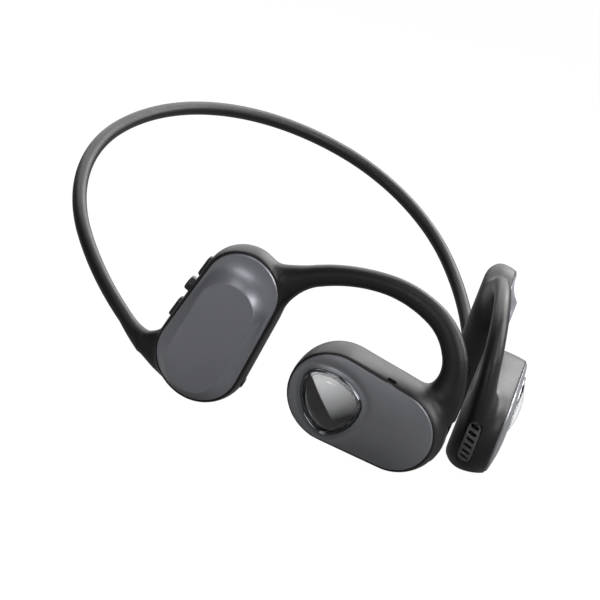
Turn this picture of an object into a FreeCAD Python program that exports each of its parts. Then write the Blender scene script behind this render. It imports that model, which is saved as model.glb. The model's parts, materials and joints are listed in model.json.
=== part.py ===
"""Open-ear neckband headphones: two mirrored ear units joined by a sprung neckband.

Each ear unit is a control housing that sits behind the ear, a soft hook that
passes over the ear and a speaker pod in front of it.  The units toe in towards
each other and the neckband rises behind them.

A unit is modelled in its own frame: X forward along the housing, Y up, Z outward
away from the head, with its origin at the middle of the control cover's rim.
The right unit is then turned into place and the left one is its mirror image.
"""
import FreeCAD, Part
import math
import os

V = FreeCAD.Vector

# ---------------------------------------------------------------- overall layout
unit_half_spacing = 43.3      # middle of the headset to the rim of a control cover
nose_half_gap = 1.27          # each pod's nose comes this near to the middle
stance_pitch_limit = 30.0     # steepest nose-down attitude tried when it is set on a table

# ---------------------------------------------------------------- control housing
control_lean = 76.7           # degrees from forward to the housing's long axis
control_half_span = 11.1      # half the distance between the two end circles
control_low_r = 11.4          # cover's lower end
control_high_r = 9.95         # cover's upper end
control_depth = 8.1           # cover rim to the face towards the head
control_lip = 0.55            # housing stands outside its cover by this much
control_bulge = 1.35          # barrel-shaped side wall, widest at mid depth
control_inner_inset = 2.2     # side wall pulls in this far at the face towards the head
control_inner_round = 1.2
control_wall = 1.7            # cavity inset from the cover's outline
control_floor = 1.1           # wall between the cavity and the head
rim_drop = 0.3                # housing rim lies this far below the cover's rim

# ---------------------------------------------------------------- control cover
cover_gap = 0.12              # gap that seals the cover in its rebate
cover_skirt = 1.5             # cover's thickness inside the rebate
cover_chamfer = 0.25
cover_foot = 0.35             # the raised form starts this far inside the rim
island_r = 7.8                # raised flat of the cover
island_rise = 2.7
island_low = -12.0            # the flat's end circles along the long axis
island_high = 5.2
scoop_start = 0.45            # share of the way in at which the scoop turns up
scoop_height = 0.5
cover_hollow_inset = 2.6
cover_hollow_depth = 1.3

# ---------------------------------------------------------------- speaker pod
pod_forward = 44.1            # pod cover's middle from the control cover's middle
pod_up = -0.73
pod_outset = 10.85            # pod cover stands outside the control cover
pod_lean = -3.4
pod_half_span = 8.3
pod_rear_r = 11.4
pod_front_r = 10.3
pod_depth = 11.5
pod_wall = 1.2
pod_floor = 1.4
pod_bulge = 1.85              # barrel-shaped side wall, widest at mid depth
pod_rear_share = 0.4          # share of that bulge at the pod's rear end
pod_lip = 0.45
pod_inner_inset = 1.3         # side wall pulls in this far at the face towards the head
pod_inner_round = 1.0
crown_rise = 0.95             # pod cover's pillow shape
crown_inset = 7.5
crown_shoulder = (0.45, 0.62) # shares of the inset and of the rise that it has there

# ---------------------------------------------------------------- lens in the pod cover
lens_forward = 35.5
lens_up = -1.2
lens_corner_r = 5.7           # rounded triangle: three corner circles
lens_corner_reach = 3.0
lens_corner_angles = (30.0, 127.0, 285.0)
lens_side_bow = 4.0           # smaller bows the three sides out more
lens_rise = 2.75
lens_dome_r = 17.0
lens_edge_cut = 0.8
lens_shell = 0.9
bezel_width = 0.8
bezel_proud = 0.55
bezel_depth = 1.5
lens_seat = 0.5               # lens foot below the pod cover's rim
reflector_thickness = 0.9
reflector_dish_r = 5.4        # dished middle
reflector_dish_depth = 0.4
fit_gap = 0.05                # glued or sealed parts

# ---------------------------------------------------------------- grille in the pod's nose
grille_length = 11.6
grille_width = 4.5
grille_level = -6.6           # below the pod cover's rim
grille_tilt = 0.0
grille_up = -0.6              # from the middle of the nose
grille_thickness = 1.3
grille_reveal = 0.15
grille_slots = 6
slot_pitch = 1.75
slot_length = 3.0
slot_width = 0.85
mesh_thickness = 0.3
mesh_lap = 0.6

# ---------------------------------------------------------------- microphone in the pod
mic_forward = 46.6
mic_slot_length = 2.5
mic_slot_height = 1.1
mic_level = -1.15             # slot's middle below the pod cover's rim
mic_body = (3.4, 2.4, 1.1)    # along the wall, inward from the cover, through the wall

# ---------------------------------------------------------------- driver in the pod
driver_forward = 50.4
driver_r = 7.6
driver_ring_height = 1.3
driver_ring_wall = 1.1
driver_ledge = 0.8
magnet_r = 4.9
magnet_height = 3.0
basket_web = 0.8
magnet_chamfer = 0.4
diaphragm_thickness = 0.3
diaphragm_lift = 0.15         # membrane's rim above the ledge
diaphragm_rise = 0.8          # shallow cone

# ---------------------------------------------------------------- ear hook
hook_out = -3.4               # plane of the hook where it crosses the unit's origin
hook_forward_tilt = 7.3       # degrees that the plane leans outward in front
hook_up_tilt = -5.9           # and inward at the top
hook_start = (6.3, 11.1)      # inside the control housing, in the hook's plane
hook_heading = 49.8
hook_arcs = ((48.7, -41.9), (29.4, -28.5), (15.6, -81.5), (12.0, -25.0))
# sections along the hook: share of its path, width in its plane, thickness
hook_sections = (
    (0.00, 17.0, 6.2),
    (0.12, 9.4, 5.7),
    (0.20, 6.0, 4.9),
    (0.27, 5.4, 4.4),
    (0.42, 5.1, 4.2),
    (0.58, 5.6, 4.3),
    (0.72, 6.0, 4.6),
    (0.82, 6.8, 5.2),
    (0.89, 8.8, 6.1),
    (1.00, 14.0, 8.4),
)
hook_split = 0.42             # share of the path where the two lofts meet
hook_loft_steps = 5           # stretches in each loft
hook_wire_size = 0.8          # square spring wire
hook_wire_lift = 0.55         # wire and ribbon cable lie either side of the hook's plane
hook_ribbon_lift = -0.75

# ---------------------------------------------------------------- neck and neckband
seam_centre = (-19.0, -15.0, -4.3)        # between the housing's neck and the band's sleeve
seam_height = 6.5
seam_thickness = 5.0
neck_root = (-4.0, -13.4, 18.0, 6.4)      # forward, up, height, thickness inside the housing
neck_waist = (-13.4, -14.8, 13.2, 6.2)
band_rise = 22.0              # degrees that the band climbs rearward
band_reach = 107.3            # from the control covers' line to the back, along the slope
band_arcs = ((66.2, 34.7), (51.4, 54.0))  # back and corner, then one arc runs to the seam
band_r = 1.95
band_taper = 19.0             # length over which the neck narrows to the band
band_taper_shares = (0.35, 0.7, 1.0)      # where its sections lie
band_wire_size = 0.9
band_wire_lift = 0.65
band_ribbon_lift = -0.7
band_core_reach = 4.0         # wire and cable enter the neck this far
ribbon_width = 1.8
ribbon_thickness = 0.5
core_gap = 0.1                # between a wire or cable and its sleeve
lead_bore_r = 0.8
lead_bore_end = (-6.5, -13.0, -4.0)

# ---------------------------------------------------------------- buttons and switches
button_level = -4.0
button_stations = (("volume_up_button", 8.6), ("play_button", 2.1), ("volume_down_button", -5.5))
bar_length = 6.2
bar_width = 2.9
bar_proud = 0.65
knob_length = 4.1
knob_width = 3.7
knob_proud = 1.4
button_gap = 0.10
button_flange = 0.35
button_flange_height = 0.5
button_edge_bevel = 0.4
button_travel = 0.35
switch_size = (3.4, 1.6, 2.6)
plunger_width = 1.2
plunger_length = 0.5
plunger_gap = 0.05            # left between a fully pressed button and its plunger
board_thickness = 0.6
board_gap = 0.2               # board's edge to the cavity's wall
radio_chip = (6.0, 6.0, 1.1, 1.5, 4.0)    # length, width, height, forward, up
memory_chip = (4.0, 3.0, 0.8, 3.4, 10.6)

# ---------------------------------------------------------------- charging port
port_station = -7.9
port_width = 8.94
port_height = 3.2
port_depth = 6.6
port_gap = 0.15
port_shell = 0.35
port_tongue = 0.7
port_tongue_inset = 1.2       # tongue's ends from the shell's
port_tongue_setback = 1.0     # tongue's tip behind the shell's mouth
flap_station = -8.4
flap_length = 12.0
flap_width = 4.6
flap_thickness = 1.5
flap_gap = 0.12
flap_pad = (2.6, 3.2, 0.5)    # finger lip: length, width, height
flap_pad_station = -13.0
flap_pad_bevel = 0.25

# ---------------------------------------------------------------- cell in the left housing
cell_length = 22.0
cell_station = -2.0           # cell's middle along the housing
cell_width = 12.5
cell_thickness = 3.9
cell_corner_cut = 1.6
cell_clearance = 0.1
cell_board_inset = 2.0        # protection board's ends from the cell's sides


# ================================================================ helpers
def tapered_outline(centre, lean, half_span, start_r, end_r, height):
    """Closed outline of two end circles joined by their outer tangents."""
    tilt = math.asin((start_r - end_r) / (2 * half_span))
    side = V(math.sin(tilt), math.cos(tilt), 0)
    other = V(math.sin(tilt), -math.cos(tilt), 0)
    start = V(-half_span, 0, 0)
    end = V(half_span, 0, 0)
    edges = [
        Part.Arc(end + side * end_r, end + V(end_r, 0, 0), end + other * end_r).toShape(),
        Part.makeLine(end + other * end_r, start + other * start_r),
        Part.Arc(start + other * start_r, start - V(start_r, 0, 0), start + side * start_r).toShape(),
        Part.makeLine(start + side * start_r, end + side * end_r),
    ]
    wire = Part.Wire(edges)
    wire.rotate(V(0, 0, 0), V(0, 0, 1), lean)
    wire.translate(V(centre[0], centre[1], height))
    return wire


def control_outline(grow, height):
    return tapered_outline((0, 0), control_lean, control_half_span,
                           control_low_r + grow, control_high_r + grow, height)


def pod_outline(grow, drop, rear_ease=0.0):
    """Pod outline at a level measured from the pod cover's rim."""
    return tapered_outline((pod_forward, pod_up), pod_lean, pod_half_span,
                           pod_rear_r + grow - rear_ease, pod_front_r + grow, pod_outset + drop)


def prism(wire, height):
    return Part.Face(wire).extrude(V(0, 0, height))


def level_edges(shape, height):
    """Edges that lie flat at one height."""
    found = []
    for edge in shape.Edges:
        levels = [vertex.Z for vertex in edge.Vertexes]
        if all(abs(level - height) < 1e-4 for level in levels):
            found.append(edge)
    return found


def obround(length, width, thickness):
    """Slot-shaped block along X, centred on the origin, standing on Z = 0."""
    r = width / 2
    reach = length / 2 - r
    edges = [
        Part.makeLine(V(-reach, -r, 0), V(reach, -r, 0)),
        Part.Arc(V(reach, -r, 0), V(reach + r, 0, 0), V(reach, r, 0)).toShape(),
        Part.makeLine(V(reach, r, 0), V(-reach, r, 0)),
        Part.Arc(V(-reach, r, 0), V(-reach - r, 0, 0), V(-reach, -r, 0)).toShape(),
    ]
    return prism(Part.Wire(edges), thickness)


def block(length, width, height):
    """Box centred on the origin in X and Y, standing on Z = 0."""
    return Part.makeBox(length, width, height, V(-length / 2, -width / 2, 0))


def frame_at(origin, x_axis, z_axis):
    """Placement with its X and Z along the given directions."""
    y_axis = z_axis.cross(x_axis)
    turn = FreeCAD.Rotation(x_axis, y_axis, z_axis, "ZXY")
    return FreeCAD.Placement(origin, turn)


def placed(shape, placement):
    moved = shape.copy()
    moved.Placement = placement.multiply(moved.Placement)
    return moved


class ArcPath:
    """Chain of tangent arcs in the XY plane; a positive turn is to the left."""

    def __init__(self, start, heading, arcs):
        self.start = V(start[0], start[1], 0)
        self.heading = heading
        self.arcs = list(arcs)

    def length(self):
        return sum(radius * math.radians(abs(turn)) for radius, turn in self.arcs)

    def at(self, distance):
        """Point and heading at a distance along the path."""
        point = self.start
        heading = math.radians(self.heading)
        left = distance
        for radius, turn in self.arcs:
            side = math.copysign(1, turn)
            step = min(left, radius * math.radians(abs(turn)))
            centre = point + V(-math.sin(heading), math.cos(heading), 0) * radius * side
            heading += side * step / radius
            point = centre - V(-math.sin(heading), math.cos(heading), 0) * radius * side
            left -= step
        return point, math.degrees(heading)

    def run_to(self, target):
        """Add the one arc that leaves the path's end and reaches a point."""
        point, heading = self.at(self.length())
        chord = V(target[0], target[1], 0) - point
        swing = math.degrees(math.atan2(chord.y, chord.x)) - heading
        radius = chord.Length / (2 * math.sin(math.radians(abs(swing))))
        self.arcs.append((radius, 2 * swing))

    def edges(self, start, end):
        """Arcs between two distances along the path."""
        found = []
        done = 0.0
        for radius, turn in self.arcs:
            first = max(start, done)
            done += radius * math.radians(abs(turn))
            last = min(end, done)
            if last - first > 1e-6:
                marks = [self.at(mark)[0] for mark in (first, (first + last) / 2, last)]
                found.append(Part.Arc(*marks).toShape())
        return found


def direction(heading):
    a = math.radians(heading)
    return V(math.cos(a), math.sin(a), 0)


def round_bar(edges, radius):
    """Round bar along a chain of edges."""
    first = edges[0]
    start = first.valueAt(first.FirstParameter)
    tangent = first.tangentAt(first.FirstParameter)
    profile = Part.Wire(Part.makeCircle(radius, start, tangent))
    return Part.Wire(edges).makePipeShell([profile], True, False)


def flat_bar(edges, width, thickness):
    """Bar of rectangular section along a chain of edges in the XY plane."""
    first = edges[0]
    start = first.valueAt(first.FirstParameter)
    side = V(0, 0, 1).cross(first.tangentAt(first.FirstParameter)) * (width / 2)
    up = V(0, 0, thickness / 2)
    corners = [start + side + up, start - side + up, start - side - up, start + side - up]
    profile = Part.makePolygon(corners + corners[:1])
    return Part.Wire(edges).makePipeShell([profile], True, False)


def wire(edges, size, grow):
    """Square spring wire, grown all round for its way through a sleeve."""
    return flat_bar(edges, size + 2 * grow, size + 2 * grow)


def ribbon(edges, grow):
    """Flat cable, grown all round for its way through a sleeve."""
    return flat_bar(edges, ribbon_width + 2 * grow, ribbon_thickness + 2 * grow)


def oval(centre, across, through, width, thickness):
    """Elliptical section with its width along one direction and its thickness along another."""
    if math.isclose(width, thickness):
        return Part.Wire(Part.makeCircle(width / 2, centre, across.cross(through)))
    ellipse = Part.Ellipse(centre + across * (width / 2), centre + through * (thickness / 2), centre)
    return Part.Wire(ellipse.toShape())


# ================================================================ control housing
def control_side(station, front):
    """Point on the housing's side at mid depth, its outward normal and the direction along it."""
    tilt = math.asin((control_low_r - control_high_r) / (2 * control_half_span))
    sign = -1 if front else 1
    along = V(math.cos(tilt), -sign * math.sin(tilt), 0)
    normal = V(math.sin(tilt), sign * math.cos(tilt), 0)
    middle = V(-control_half_span, 0, 0) + normal * (control_low_r + control_bulge)
    point = middle + along * ((station + control_half_span) / along.x)
    lean = FreeCAD.Rotation(V(0, 0, 1), control_lean)
    return lean.multVec(point), lean.multVec(normal), lean.multVec(along)


def side_frame(station, front, level):
    """Placement on a side: Z outward, X along the side."""
    point, normal, along = control_side(station, front)
    return frame_at(V(point.x, point.y, level), along, normal)


def control_body():
    """Barrel-sided outer form of the housing without its neck."""
    levels = (
        (-rim_drop, control_lip),
        (-0.24 * control_depth, control_lip * 0.3 + control_bulge * 0.7),
        (-0.50 * control_depth, control_bulge),
        (-0.78 * control_depth, control_bulge * 0.4),
        (-control_depth, -control_inner_inset),
    )
    body = Part.makeLoft([control_outline(grow, level) for level, grow in levels], True, False)
    return body.makeFillet(control_inner_round, level_edges(body, -control_depth))


def neck_section(forward, up, height, thickness):
    return oval(V(forward, up, seam_centre[2]), V(0, 1, 0), V(0, 0, 1), height, thickness)


def seam_section():
    """Oval between the neck and the band, upright and square to the way the band leaves."""
    to_unit = unit_placement().inverse().Rotation
    away = to_unit.multVec(band_plane().Rotation.multVec(direction(band_end_heading() + 180)))
    away.y = 0
    across = V(0, 0, 1).cross(away).normalize()
    through = away.cross(across).normalize()
    return oval(V(*seam_centre), across, through, seam_height, seam_thickness)


def neck():
    """Flared root that carries the band."""
    return Part.makeLoft([neck_section(*neck_root), neck_section(*neck_waist), seam_section()], True, False)


def control_envelope():
    return control_body().fuse(neck()).removeSplitter()


def control_cavity():
    floor = control_floor - control_depth
    return prism(control_outline(-control_wall, floor), -floor)


def cover_rebate():
    return prism(control_outline(cover_gap, -cover_skirt), cover_skirt)


def neck_bores():
    """Seats of the band's wire and cable in the neck, and the leads' way into the cavity."""
    to_unit = unit_placement().inverse()
    bores = [placed(bore, to_unit) for bore in band_bores()]
    seam = V(*seam_centre)
    inside = V(*lead_bore_end)
    way = inside - seam
    way_start = seam + way * (band_core_reach / 2 / way.Length)
    bores.append(Part.makeCylinder(lead_bore_r, (inside - way_start).Length, way_start, way))
    return bores


def button_shape(name):
    """Length, width and height of a button above the housing."""
    if name == "play_button":
        return knob_length, knob_width, knob_proud
    return bar_length, bar_width, bar_proud


def wall_at_side():
    return control_bulge + control_wall


def button_hole(name, station):
    length, width, _ = button_shape(name)
    hole = obround(length + 2 * button_gap, width + 2 * button_gap, wall_at_side() + 1)
    hole.translate(V(0, 0, -wall_at_side() - 0.5))
    return placed(hole, side_frame(station, False, button_level))


def board_top():
    return control_floor - control_depth + board_thickness


def port_level():
    """The connector lies on the board."""
    return board_top() + port_height / 2


def flap_block(grow):
    """Slot-shaped region that the port flap fills in the front side."""
    depth = flap_thickness + grow
    region = obround(flap_length + 2 * grow, flap_width + 2 * grow, depth + 2)
    region.translate(V(0, 0, -depth))
    return placed(region, side_frame(flap_station, True, port_level()))


def port_tunnel():
    tunnel = obround(port_width + 2 * port_gap, port_height + 2 * port_gap, wall_at_side() + 1)
    tunnel.translate(V(0, 0, -wall_at_side() - 0.5))
    return placed(tunnel, side_frame(port_station, True, port_level()))


def control_housing(with_controls):
    housing = control_envelope()
    cuts = [control_cavity(), cover_rebate(), flap_block(flap_gap)] + neck_bores() + hook_bores()
    if with_controls:
        cuts.append(port_tunnel())
        cuts += [button_hole(name, station) for name, station in button_stations]
    return housing.cut(cuts)


def control_cover():
    """Cover with a raised flat and a scooped slope around it."""
    skirt = prism(control_outline(0, -cover_skirt), cover_skirt)
    skirt = skirt.makeChamfer(cover_chamfer, level_edges(skirt, 0))
    middle = (island_low + island_high) / 2
    half = (island_high - island_low) / 2
    lean = math.radians(control_lean)
    centre = (middle * math.cos(lean), middle * math.sin(lean))
    share = scoop_start

    def slope_outline(mix, height):
        low_r = (control_low_r - cover_foot) * (1 - mix) + island_r * mix
        high_r = (control_high_r - cover_foot) * (1 - mix) + island_r * mix
        place = (centre[0] * mix, centre[1] * mix)
        span = control_half_span * (1 - mix) + half * mix
        return tapered_outline(place, control_lean, span, low_r, high_r, height)

    slope = Part.makeLoft([slope_outline(0, -cover_chamfer), slope_outline(share, scoop_height),
                           slope_outline(1, island_rise)], True, False)
    hollow = prism(control_outline(-cover_hollow_inset, -cover_skirt), cover_hollow_depth)
    return skirt.fuse(slope).cut(hollow).removeSplitter()


# ================================================================ buttons, board and port
def button(name, station):
    """Cap with a retaining flange behind the wall."""
    length, width, proud = button_shape(name)
    cap = obround(length, width, proud + wall_at_side() + button_gap)
    cap.translate(V(0, 0, -wall_at_side() - button_gap))
    cap = cap.makeChamfer(button_edge_bevel, level_edges(cap, proud))
    flange = block(length + 2 * button_flange, width + 2 * button_flange, button_flange_height)
    flange.translate(V(0, 0, -wall_at_side() - button_gap - button_flange_height))
    return placed(cap.fuse(flange), side_frame(station, False, button_level))


def switch(station):
    """Side-push switch that stands behind a button."""
    front = wall_at_side() + button_gap + button_flange_height + button_travel + plunger_gap
    length, depth, height = switch_size
    body = Part.makeBox(length, height, depth,
                        V(-length / 2, board_top() - button_level, -front - plunger_length - depth))
    plunger = block(plunger_width, plunger_width, plunger_length)
    plunger.translate(V(0, 0, -front - plunger_length))
    return placed(body.fuse(plunger), side_frame(station, False, button_level))


def switches():
    return Part.Compound([switch(station) for _, station in button_stations])


def main_board():
    """Circuit board on the cavity's floor with its chips."""
    board = prism(control_outline(-control_wall - board_gap, board_top() - board_thickness), board_thickness)
    chips = []
    for length, width, height, forward, up in (radio_chip, memory_chip):
        chip = block(length, width, height)
        chip.rotate(V(0, 0, 0), V(0, 0, 1), control_lean)
        chip.translate(V(forward, up, board_top()))
        chips.append(chip)
    return board.fuse(chips)


def charging_connector():
    """Oval receptacle: a metal shell with a contact tongue."""
    recess = flap_thickness + flap_gap
    shell = obround(port_width, port_height, port_depth)
    hollow = obround(port_width - 2 * port_shell, port_height - 2 * port_shell, port_depth)
    hollow.translate(V(0, 0, port_shell))
    tongue = block(port_width - 2 * port_tongue_inset, port_tongue, port_depth - port_tongue_setback)
    connector = shell.cut(hollow).fuse(tongue)
    connector.translate(V(0, 0, -recess - port_depth))
    return placed(connector, side_frame(port_station, True, port_level()))


def port_flap():
    """Soft flap that fills the recess, with a finger lip at its lower end."""
    flap = flap_block(0).common(control_body())
    length, width, height = flap_pad
    root = flap_thickness / 2
    lip = obround(width, length, height + root)
    lip.rotate(V(0, 0, 0), V(0, 0, 1), 90)
    lip.translate(V(0, 0, -root))
    lip = lip.makeChamfer(flap_pad_bevel, level_edges(lip, height))
    lip = placed(lip, side_frame(flap_pad_station, True, port_level()))
    return flap.fuse(lip).removeSplitter()


def battery_cell():
    """Pouch cell on the floor of the left housing."""
    floor = control_floor - control_depth + cell_clearance
    cell = block(cell_length, cell_width, cell_thickness)
    cell = cell.makeChamfer(cell_corner_cut, [e for e in cell.Edges if abs(e.Length - cell_thickness) < 1e-6])
    cell.translate(V(cell_station, 0, 0))
    cell.rotate(V(0, 0, 0), V(0, 0, 1), control_lean)
    cell.translate(V(0, 0, floor))
    return cell


def cell_board():
    """Protection board that stands at the cell's upper end."""
    floor = control_floor - control_depth
    width = cell_width - 2 * cell_board_inset
    board = Part.makeBox(board_thickness, width, cell_thickness,
                         V(cell_station + cell_length / 2 + cell_clearance, -width / 2, 0))
    board.rotate(V(0, 0, 0), V(0, 0, 1), control_lean)
    board.translate(V(0, 0, floor))
    return board


# ================================================================ ear hook
def hook_path():
    return ArcPath(hook_start, hook_heading, hook_arcs)


def hook_plane():
    """Placement of the hook's plane in the unit."""
    outward = V(-math.tan(math.radians(hook_forward_tilt)), -math.tan(math.radians(hook_up_tilt)), 1)
    return frame_at(V(0, 0, hook_out), V(1, 0, 0), outward)


def hook_half(start, end):
    """Loft of oval sections along part of the hook, in its own plane."""
    path = hook_path()
    sizes = Part.BSplineCurve()
    sizes.interpolate(Points=[V(width, thickness, 0) for _, width, thickness in hook_sections],
                      Parameters=[share for share, _, _ in hook_sections])
    sections = []
    for index in range(hook_loft_steps + 1):
        share = start + (end - start) * index / hook_loft_steps
        point, heading = path.at(share * path.length())
        size = sizes.value(share)
        sections.append(oval(point, direction(heading + 90), V(0, 0, 1), size.x, size.y))
    return Part.makeLoft(sections, True, False)


def hook_body():
    """Full form of the hook, with both ends inside the housings."""
    both = hook_half(0, hook_split).fuse(hook_half(hook_split, 1))
    return placed(both, hook_plane())


def in_hook(bar, lift):
    bar.translate(V(0, 0, lift))
    return placed(bar, hook_plane())


def hook_line():
    path = hook_path()
    return path.edges(0, path.length())


def hook_wire(grow):
    return in_hook(wire(hook_line(), hook_wire_size, grow), hook_wire_lift)


def hook_cable(grow):
    return in_hook(ribbon(hook_line(), grow), hook_ribbon_lift)


def hook_bores():
    return [hook_wire(core_gap), hook_cable(core_gap)]


def ear_hook():
    """Soft sleeve between the two housings, which it meets face to face."""
    sleeve = hook_body().cut([control_envelope(), pod_body()] + hook_bores())
    return max(sleeve.Solids, key=lambda solid: solid.Volume)


# ================================================================ speaker pod
def pod_body():
    """Barrel-sided outer form of the pod."""
    levels = (
        (-rim_drop, pod_lip),
        (-0.22 * pod_depth, pod_bulge * 0.72),
        (-0.50 * pod_depth, pod_bulge),
        (-0.76 * pod_depth, pod_bulge * 0.70),
        (-pod_depth, -pod_inner_inset),
    )
    outlines = []
    for drop, grow in levels:
        outlines.append(pod_outline(grow, drop, max(grow - pod_lip, 0) * (1 - pod_rear_share)))
    body = Part.makeLoft(outlines, True, False)
    inner = level_edges(body, pod_outset - pod_depth)
    return body.makeFillet(pod_inner_round, inner)


def pod_cavity():
    floor = pod_floor - pod_depth
    return prism(pod_outline(-pod_wall, floor), -floor)


def pod_rebate():
    return prism(pod_outline(cover_gap, -cover_skirt), cover_skirt)


def nose_frame():
    """Placement inside the pod's nose: Z forward, X up along the grille."""
    lean = math.radians(pod_lean)
    forward = V(math.cos(lean), math.sin(lean), 0)
    middle = V(pod_forward, pod_up, pod_outset + grille_level) + forward * pod_half_span
    up = V(-math.sin(lean), math.cos(lean), 0)
    tilt = FreeCAD.Rotation(forward, grille_tilt)
    return frame_at(middle + up * grille_up, tilt.multVec(up), forward)


def grille_block(grow):
    region = obround(grille_length + 2 * grow, grille_width + 2 * grow, pod_front_r + pod_bulge + 3)
    return placed(region, nose_frame())


def nose_core(inset):
    """Round core of the nose, to cut a constant thickness behind its surface."""
    lean = math.radians(pod_lean)
    centre = V(pod_forward + pod_half_span * math.cos(lean), pod_up + pod_half_span * math.sin(lean),
               pod_outset - pod_depth)
    return Part.makeCylinder(pod_front_r + pod_bulge - inset, pod_depth, centre, V(0, 0, 1))


def grille():
    """Insert that follows the nose, with slots across its width."""
    insert = grille_block(0).common(pod_body()).cut(nose_core(grille_thickness))
    first = -slot_pitch * (grille_slots - 1) / 2
    slots = []
    for index in range(grille_slots):
        slot = block(slot_width, slot_length, pod_front_r + pod_bulge + 3)
        slot.translate(V(first + index * slot_pitch, 0, 0))
        slots.append(placed(slot, nose_frame()))
    return insert.cut(slots)


def grille_mesh():
    """Cloth behind the slots."""
    region = grille_block(-mesh_lap / 2).common(nose_core(grille_thickness + fit_gap))
    return region.cut(nose_core(grille_thickness + fit_gap + mesh_thickness))


def mic_frame():
    """Placement on the pod's upper wall at the microphone: Z up, X forward."""
    lean = math.radians(pod_lean)
    tilt = math.asin((pod_rear_r - pod_front_r) / (2 * pod_half_span))
    ahead = mic_forward - pod_forward
    middle_r = pod_rear_r + (pod_front_r - pod_rear_r) * (ahead / pod_half_span + 1) / 2
    along = V(math.cos(lean - tilt), math.sin(lean - tilt), 0)
    up = V(-math.sin(lean - tilt), math.cos(lean - tilt), 0)
    base = V(mic_forward, pod_up + ahead * math.tan(lean), pod_outset + mic_level)
    return frame_at(base + up * middle_r, along, up)


def mic_slot():
    slot = obround(mic_slot_length, mic_slot_height, pod_wall + pod_bulge + 2)
    slot.translate(V(0, 0, -pod_wall - 1))
    return placed(slot, mic_frame())


def mic_block(grow):
    """Capsule's block just under the cover's skirt, half sunk in the wall."""
    length, inward, depth = mic_body
    under_cover = cover_skirt + mic_level + 2 * fit_gap
    corner = V(-length / 2 - grow, under_cover - grow, -pod_wall - depth / 2 - grow)
    return placed(Part.makeBox(length + 2 * grow, inward + 2 * grow, depth + 2 * grow, corner), mic_frame())


def driver_seat():
    """Ledge ring on the pod's floor that carries the driver."""
    floor = pod_outset + pod_floor - pod_depth
    centre = V(driver_forward, pod_up, floor)
    ledge = Part.makeCylinder(driver_r, driver_ledge, centre)
    return ledge.cut(Part.makeCylinder(driver_r - driver_ring_wall, driver_ledge, centre))


def pod_housing():
    housing = pod_body().cut([pod_cavity(), pod_rebate(), grille_block(grille_reveal), mic_slot(),
                              mic_block(fit_gap)] + hook_bores())
    return housing.fuse(driver_seat())


def pod_cover():
    """Pillow-shaped cover with the lens opening."""
    skirt = prism(pod_outline(0, -cover_skirt), cover_skirt)
    skirt = skirt.makeChamfer(cover_chamfer, level_edges(skirt, pod_outset))
    inward, upward = crown_shoulder
    pillow = Part.makeLoft([pod_outline(-cover_foot, -cover_chamfer),
                            pod_outline(-crown_inset * inward, crown_rise * upward),
                            pod_outline(-crown_inset, crown_rise)], True, False)
    opening = prism(lens_outline(fit_gap, -cover_skirt - 1), cover_skirt + crown_rise + 2)
    return skirt.fuse(pillow).cut(opening).removeSplitter()


# ================================================================ lens group
def lens_outline(grow, drop):
    """Rounded triangle: three corner circles joined by bowed sides."""
    r = lens_corner_r + grow
    middle = V(lens_forward, lens_up, pod_outset + drop)
    centres = []
    for angle in lens_corner_angles:
        a = math.radians(angle)
        centres.append(middle + V(math.cos(a), math.sin(a), 0) * lens_corner_reach)
    sides = []
    for index, first in enumerate(centres):
        second = centres[(index + 1) % len(centres)]
        chord = second - first
        outward = V(chord.y, -chord.x, 0).normalize()
        bow = (first + second) * 0.5 - outward * lens_side_bow
        leave = first + (first - bow).normalize() * r
        arrive = second + (second - bow).normalize() * r
        top = bow + outward * ((first - bow).Length + r)
        sides.append((leave, top, arrive))
    edges = []
    for index, (leave, top, arrive) in enumerate(sides):
        edges.append(Part.Arc(leave, top, arrive).toShape())
        corner = centres[(index + 1) % len(centres)]
        following = sides[(index + 1) % len(sides)][0]
        crest = corner + (arrive + following - corner * 2).normalize() * r
        edges.append(Part.Arc(arrive, crest, following).toShape())
    return Part.Wire(edges)


def ball_for_cap(reach, height):
    """Radius of the ball whose cap has this reach and height."""
    return (reach ** 2 + height ** 2) / (2 * height)


def lens_ball(inset):
    radius = lens_dome_r - inset
    return Part.makeSphere(radius, V(lens_forward, lens_up, pod_outset + lens_rise - lens_dome_r))


def lens():
    """Clear domed cap, hollow underneath."""
    inset = -bezel_width - fit_gap
    solid = prism(lens_outline(inset, -lens_seat), lens_rise + 2).common(lens_ball(0))
    crest = []
    for edge in solid.Edges:
        if edge.BoundBox.ZMin > pod_outset and edge.BoundBox.ZLength < lens_rise / 2:
            crest.append(edge)
    solid = solid.makeChamfer(lens_edge_cut, crest)
    hollow = prism(lens_outline(inset - lens_shell, -lens_seat), lens_rise + 2).common(lens_ball(lens_shell))
    return solid.cut(hollow)


def lens_bezel():
    height = bezel_proud + crown_rise * crown_shoulder[1]
    ring = prism(lens_outline(0, -bezel_depth), bezel_depth + height)
    ring = ring.makeChamfer(bezel_width * 0.4, level_edges(ring, pod_outset + height))
    opening = prism(lens_outline(-bezel_width, -bezel_depth - 1), bezel_depth + lens_rise + 2)
    return ring.cut(opening)


def reflector():
    """Disc with a dished middle under the lens."""
    disc = prism(lens_outline(-bezel_width - fit_gap, -lens_seat - reflector_thickness), reflector_thickness)
    ball_r = ball_for_cap(reflector_dish_r, reflector_dish_depth)
    top = pod_outset - lens_seat
    return disc.cut(Part.makeSphere(ball_r, V(lens_forward, lens_up, top - reflector_dish_depth + ball_r)))


# ================================================================ driver
def driver_level():
    return pod_outset + pod_floor - pod_depth + driver_ledge


def driver_point(height):
    return V(driver_forward, pod_up, driver_level() + height)


def driver_basket():
    """Ring and web that hold the magnet."""
    ring = Part.makeCylinder(driver_r, driver_ring_height + basket_web, driver_point(0))
    hollow = Part.makeCylinder(driver_r - driver_ring_wall, driver_ring_height, driver_point(0))
    return ring.cut(hollow)


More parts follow.
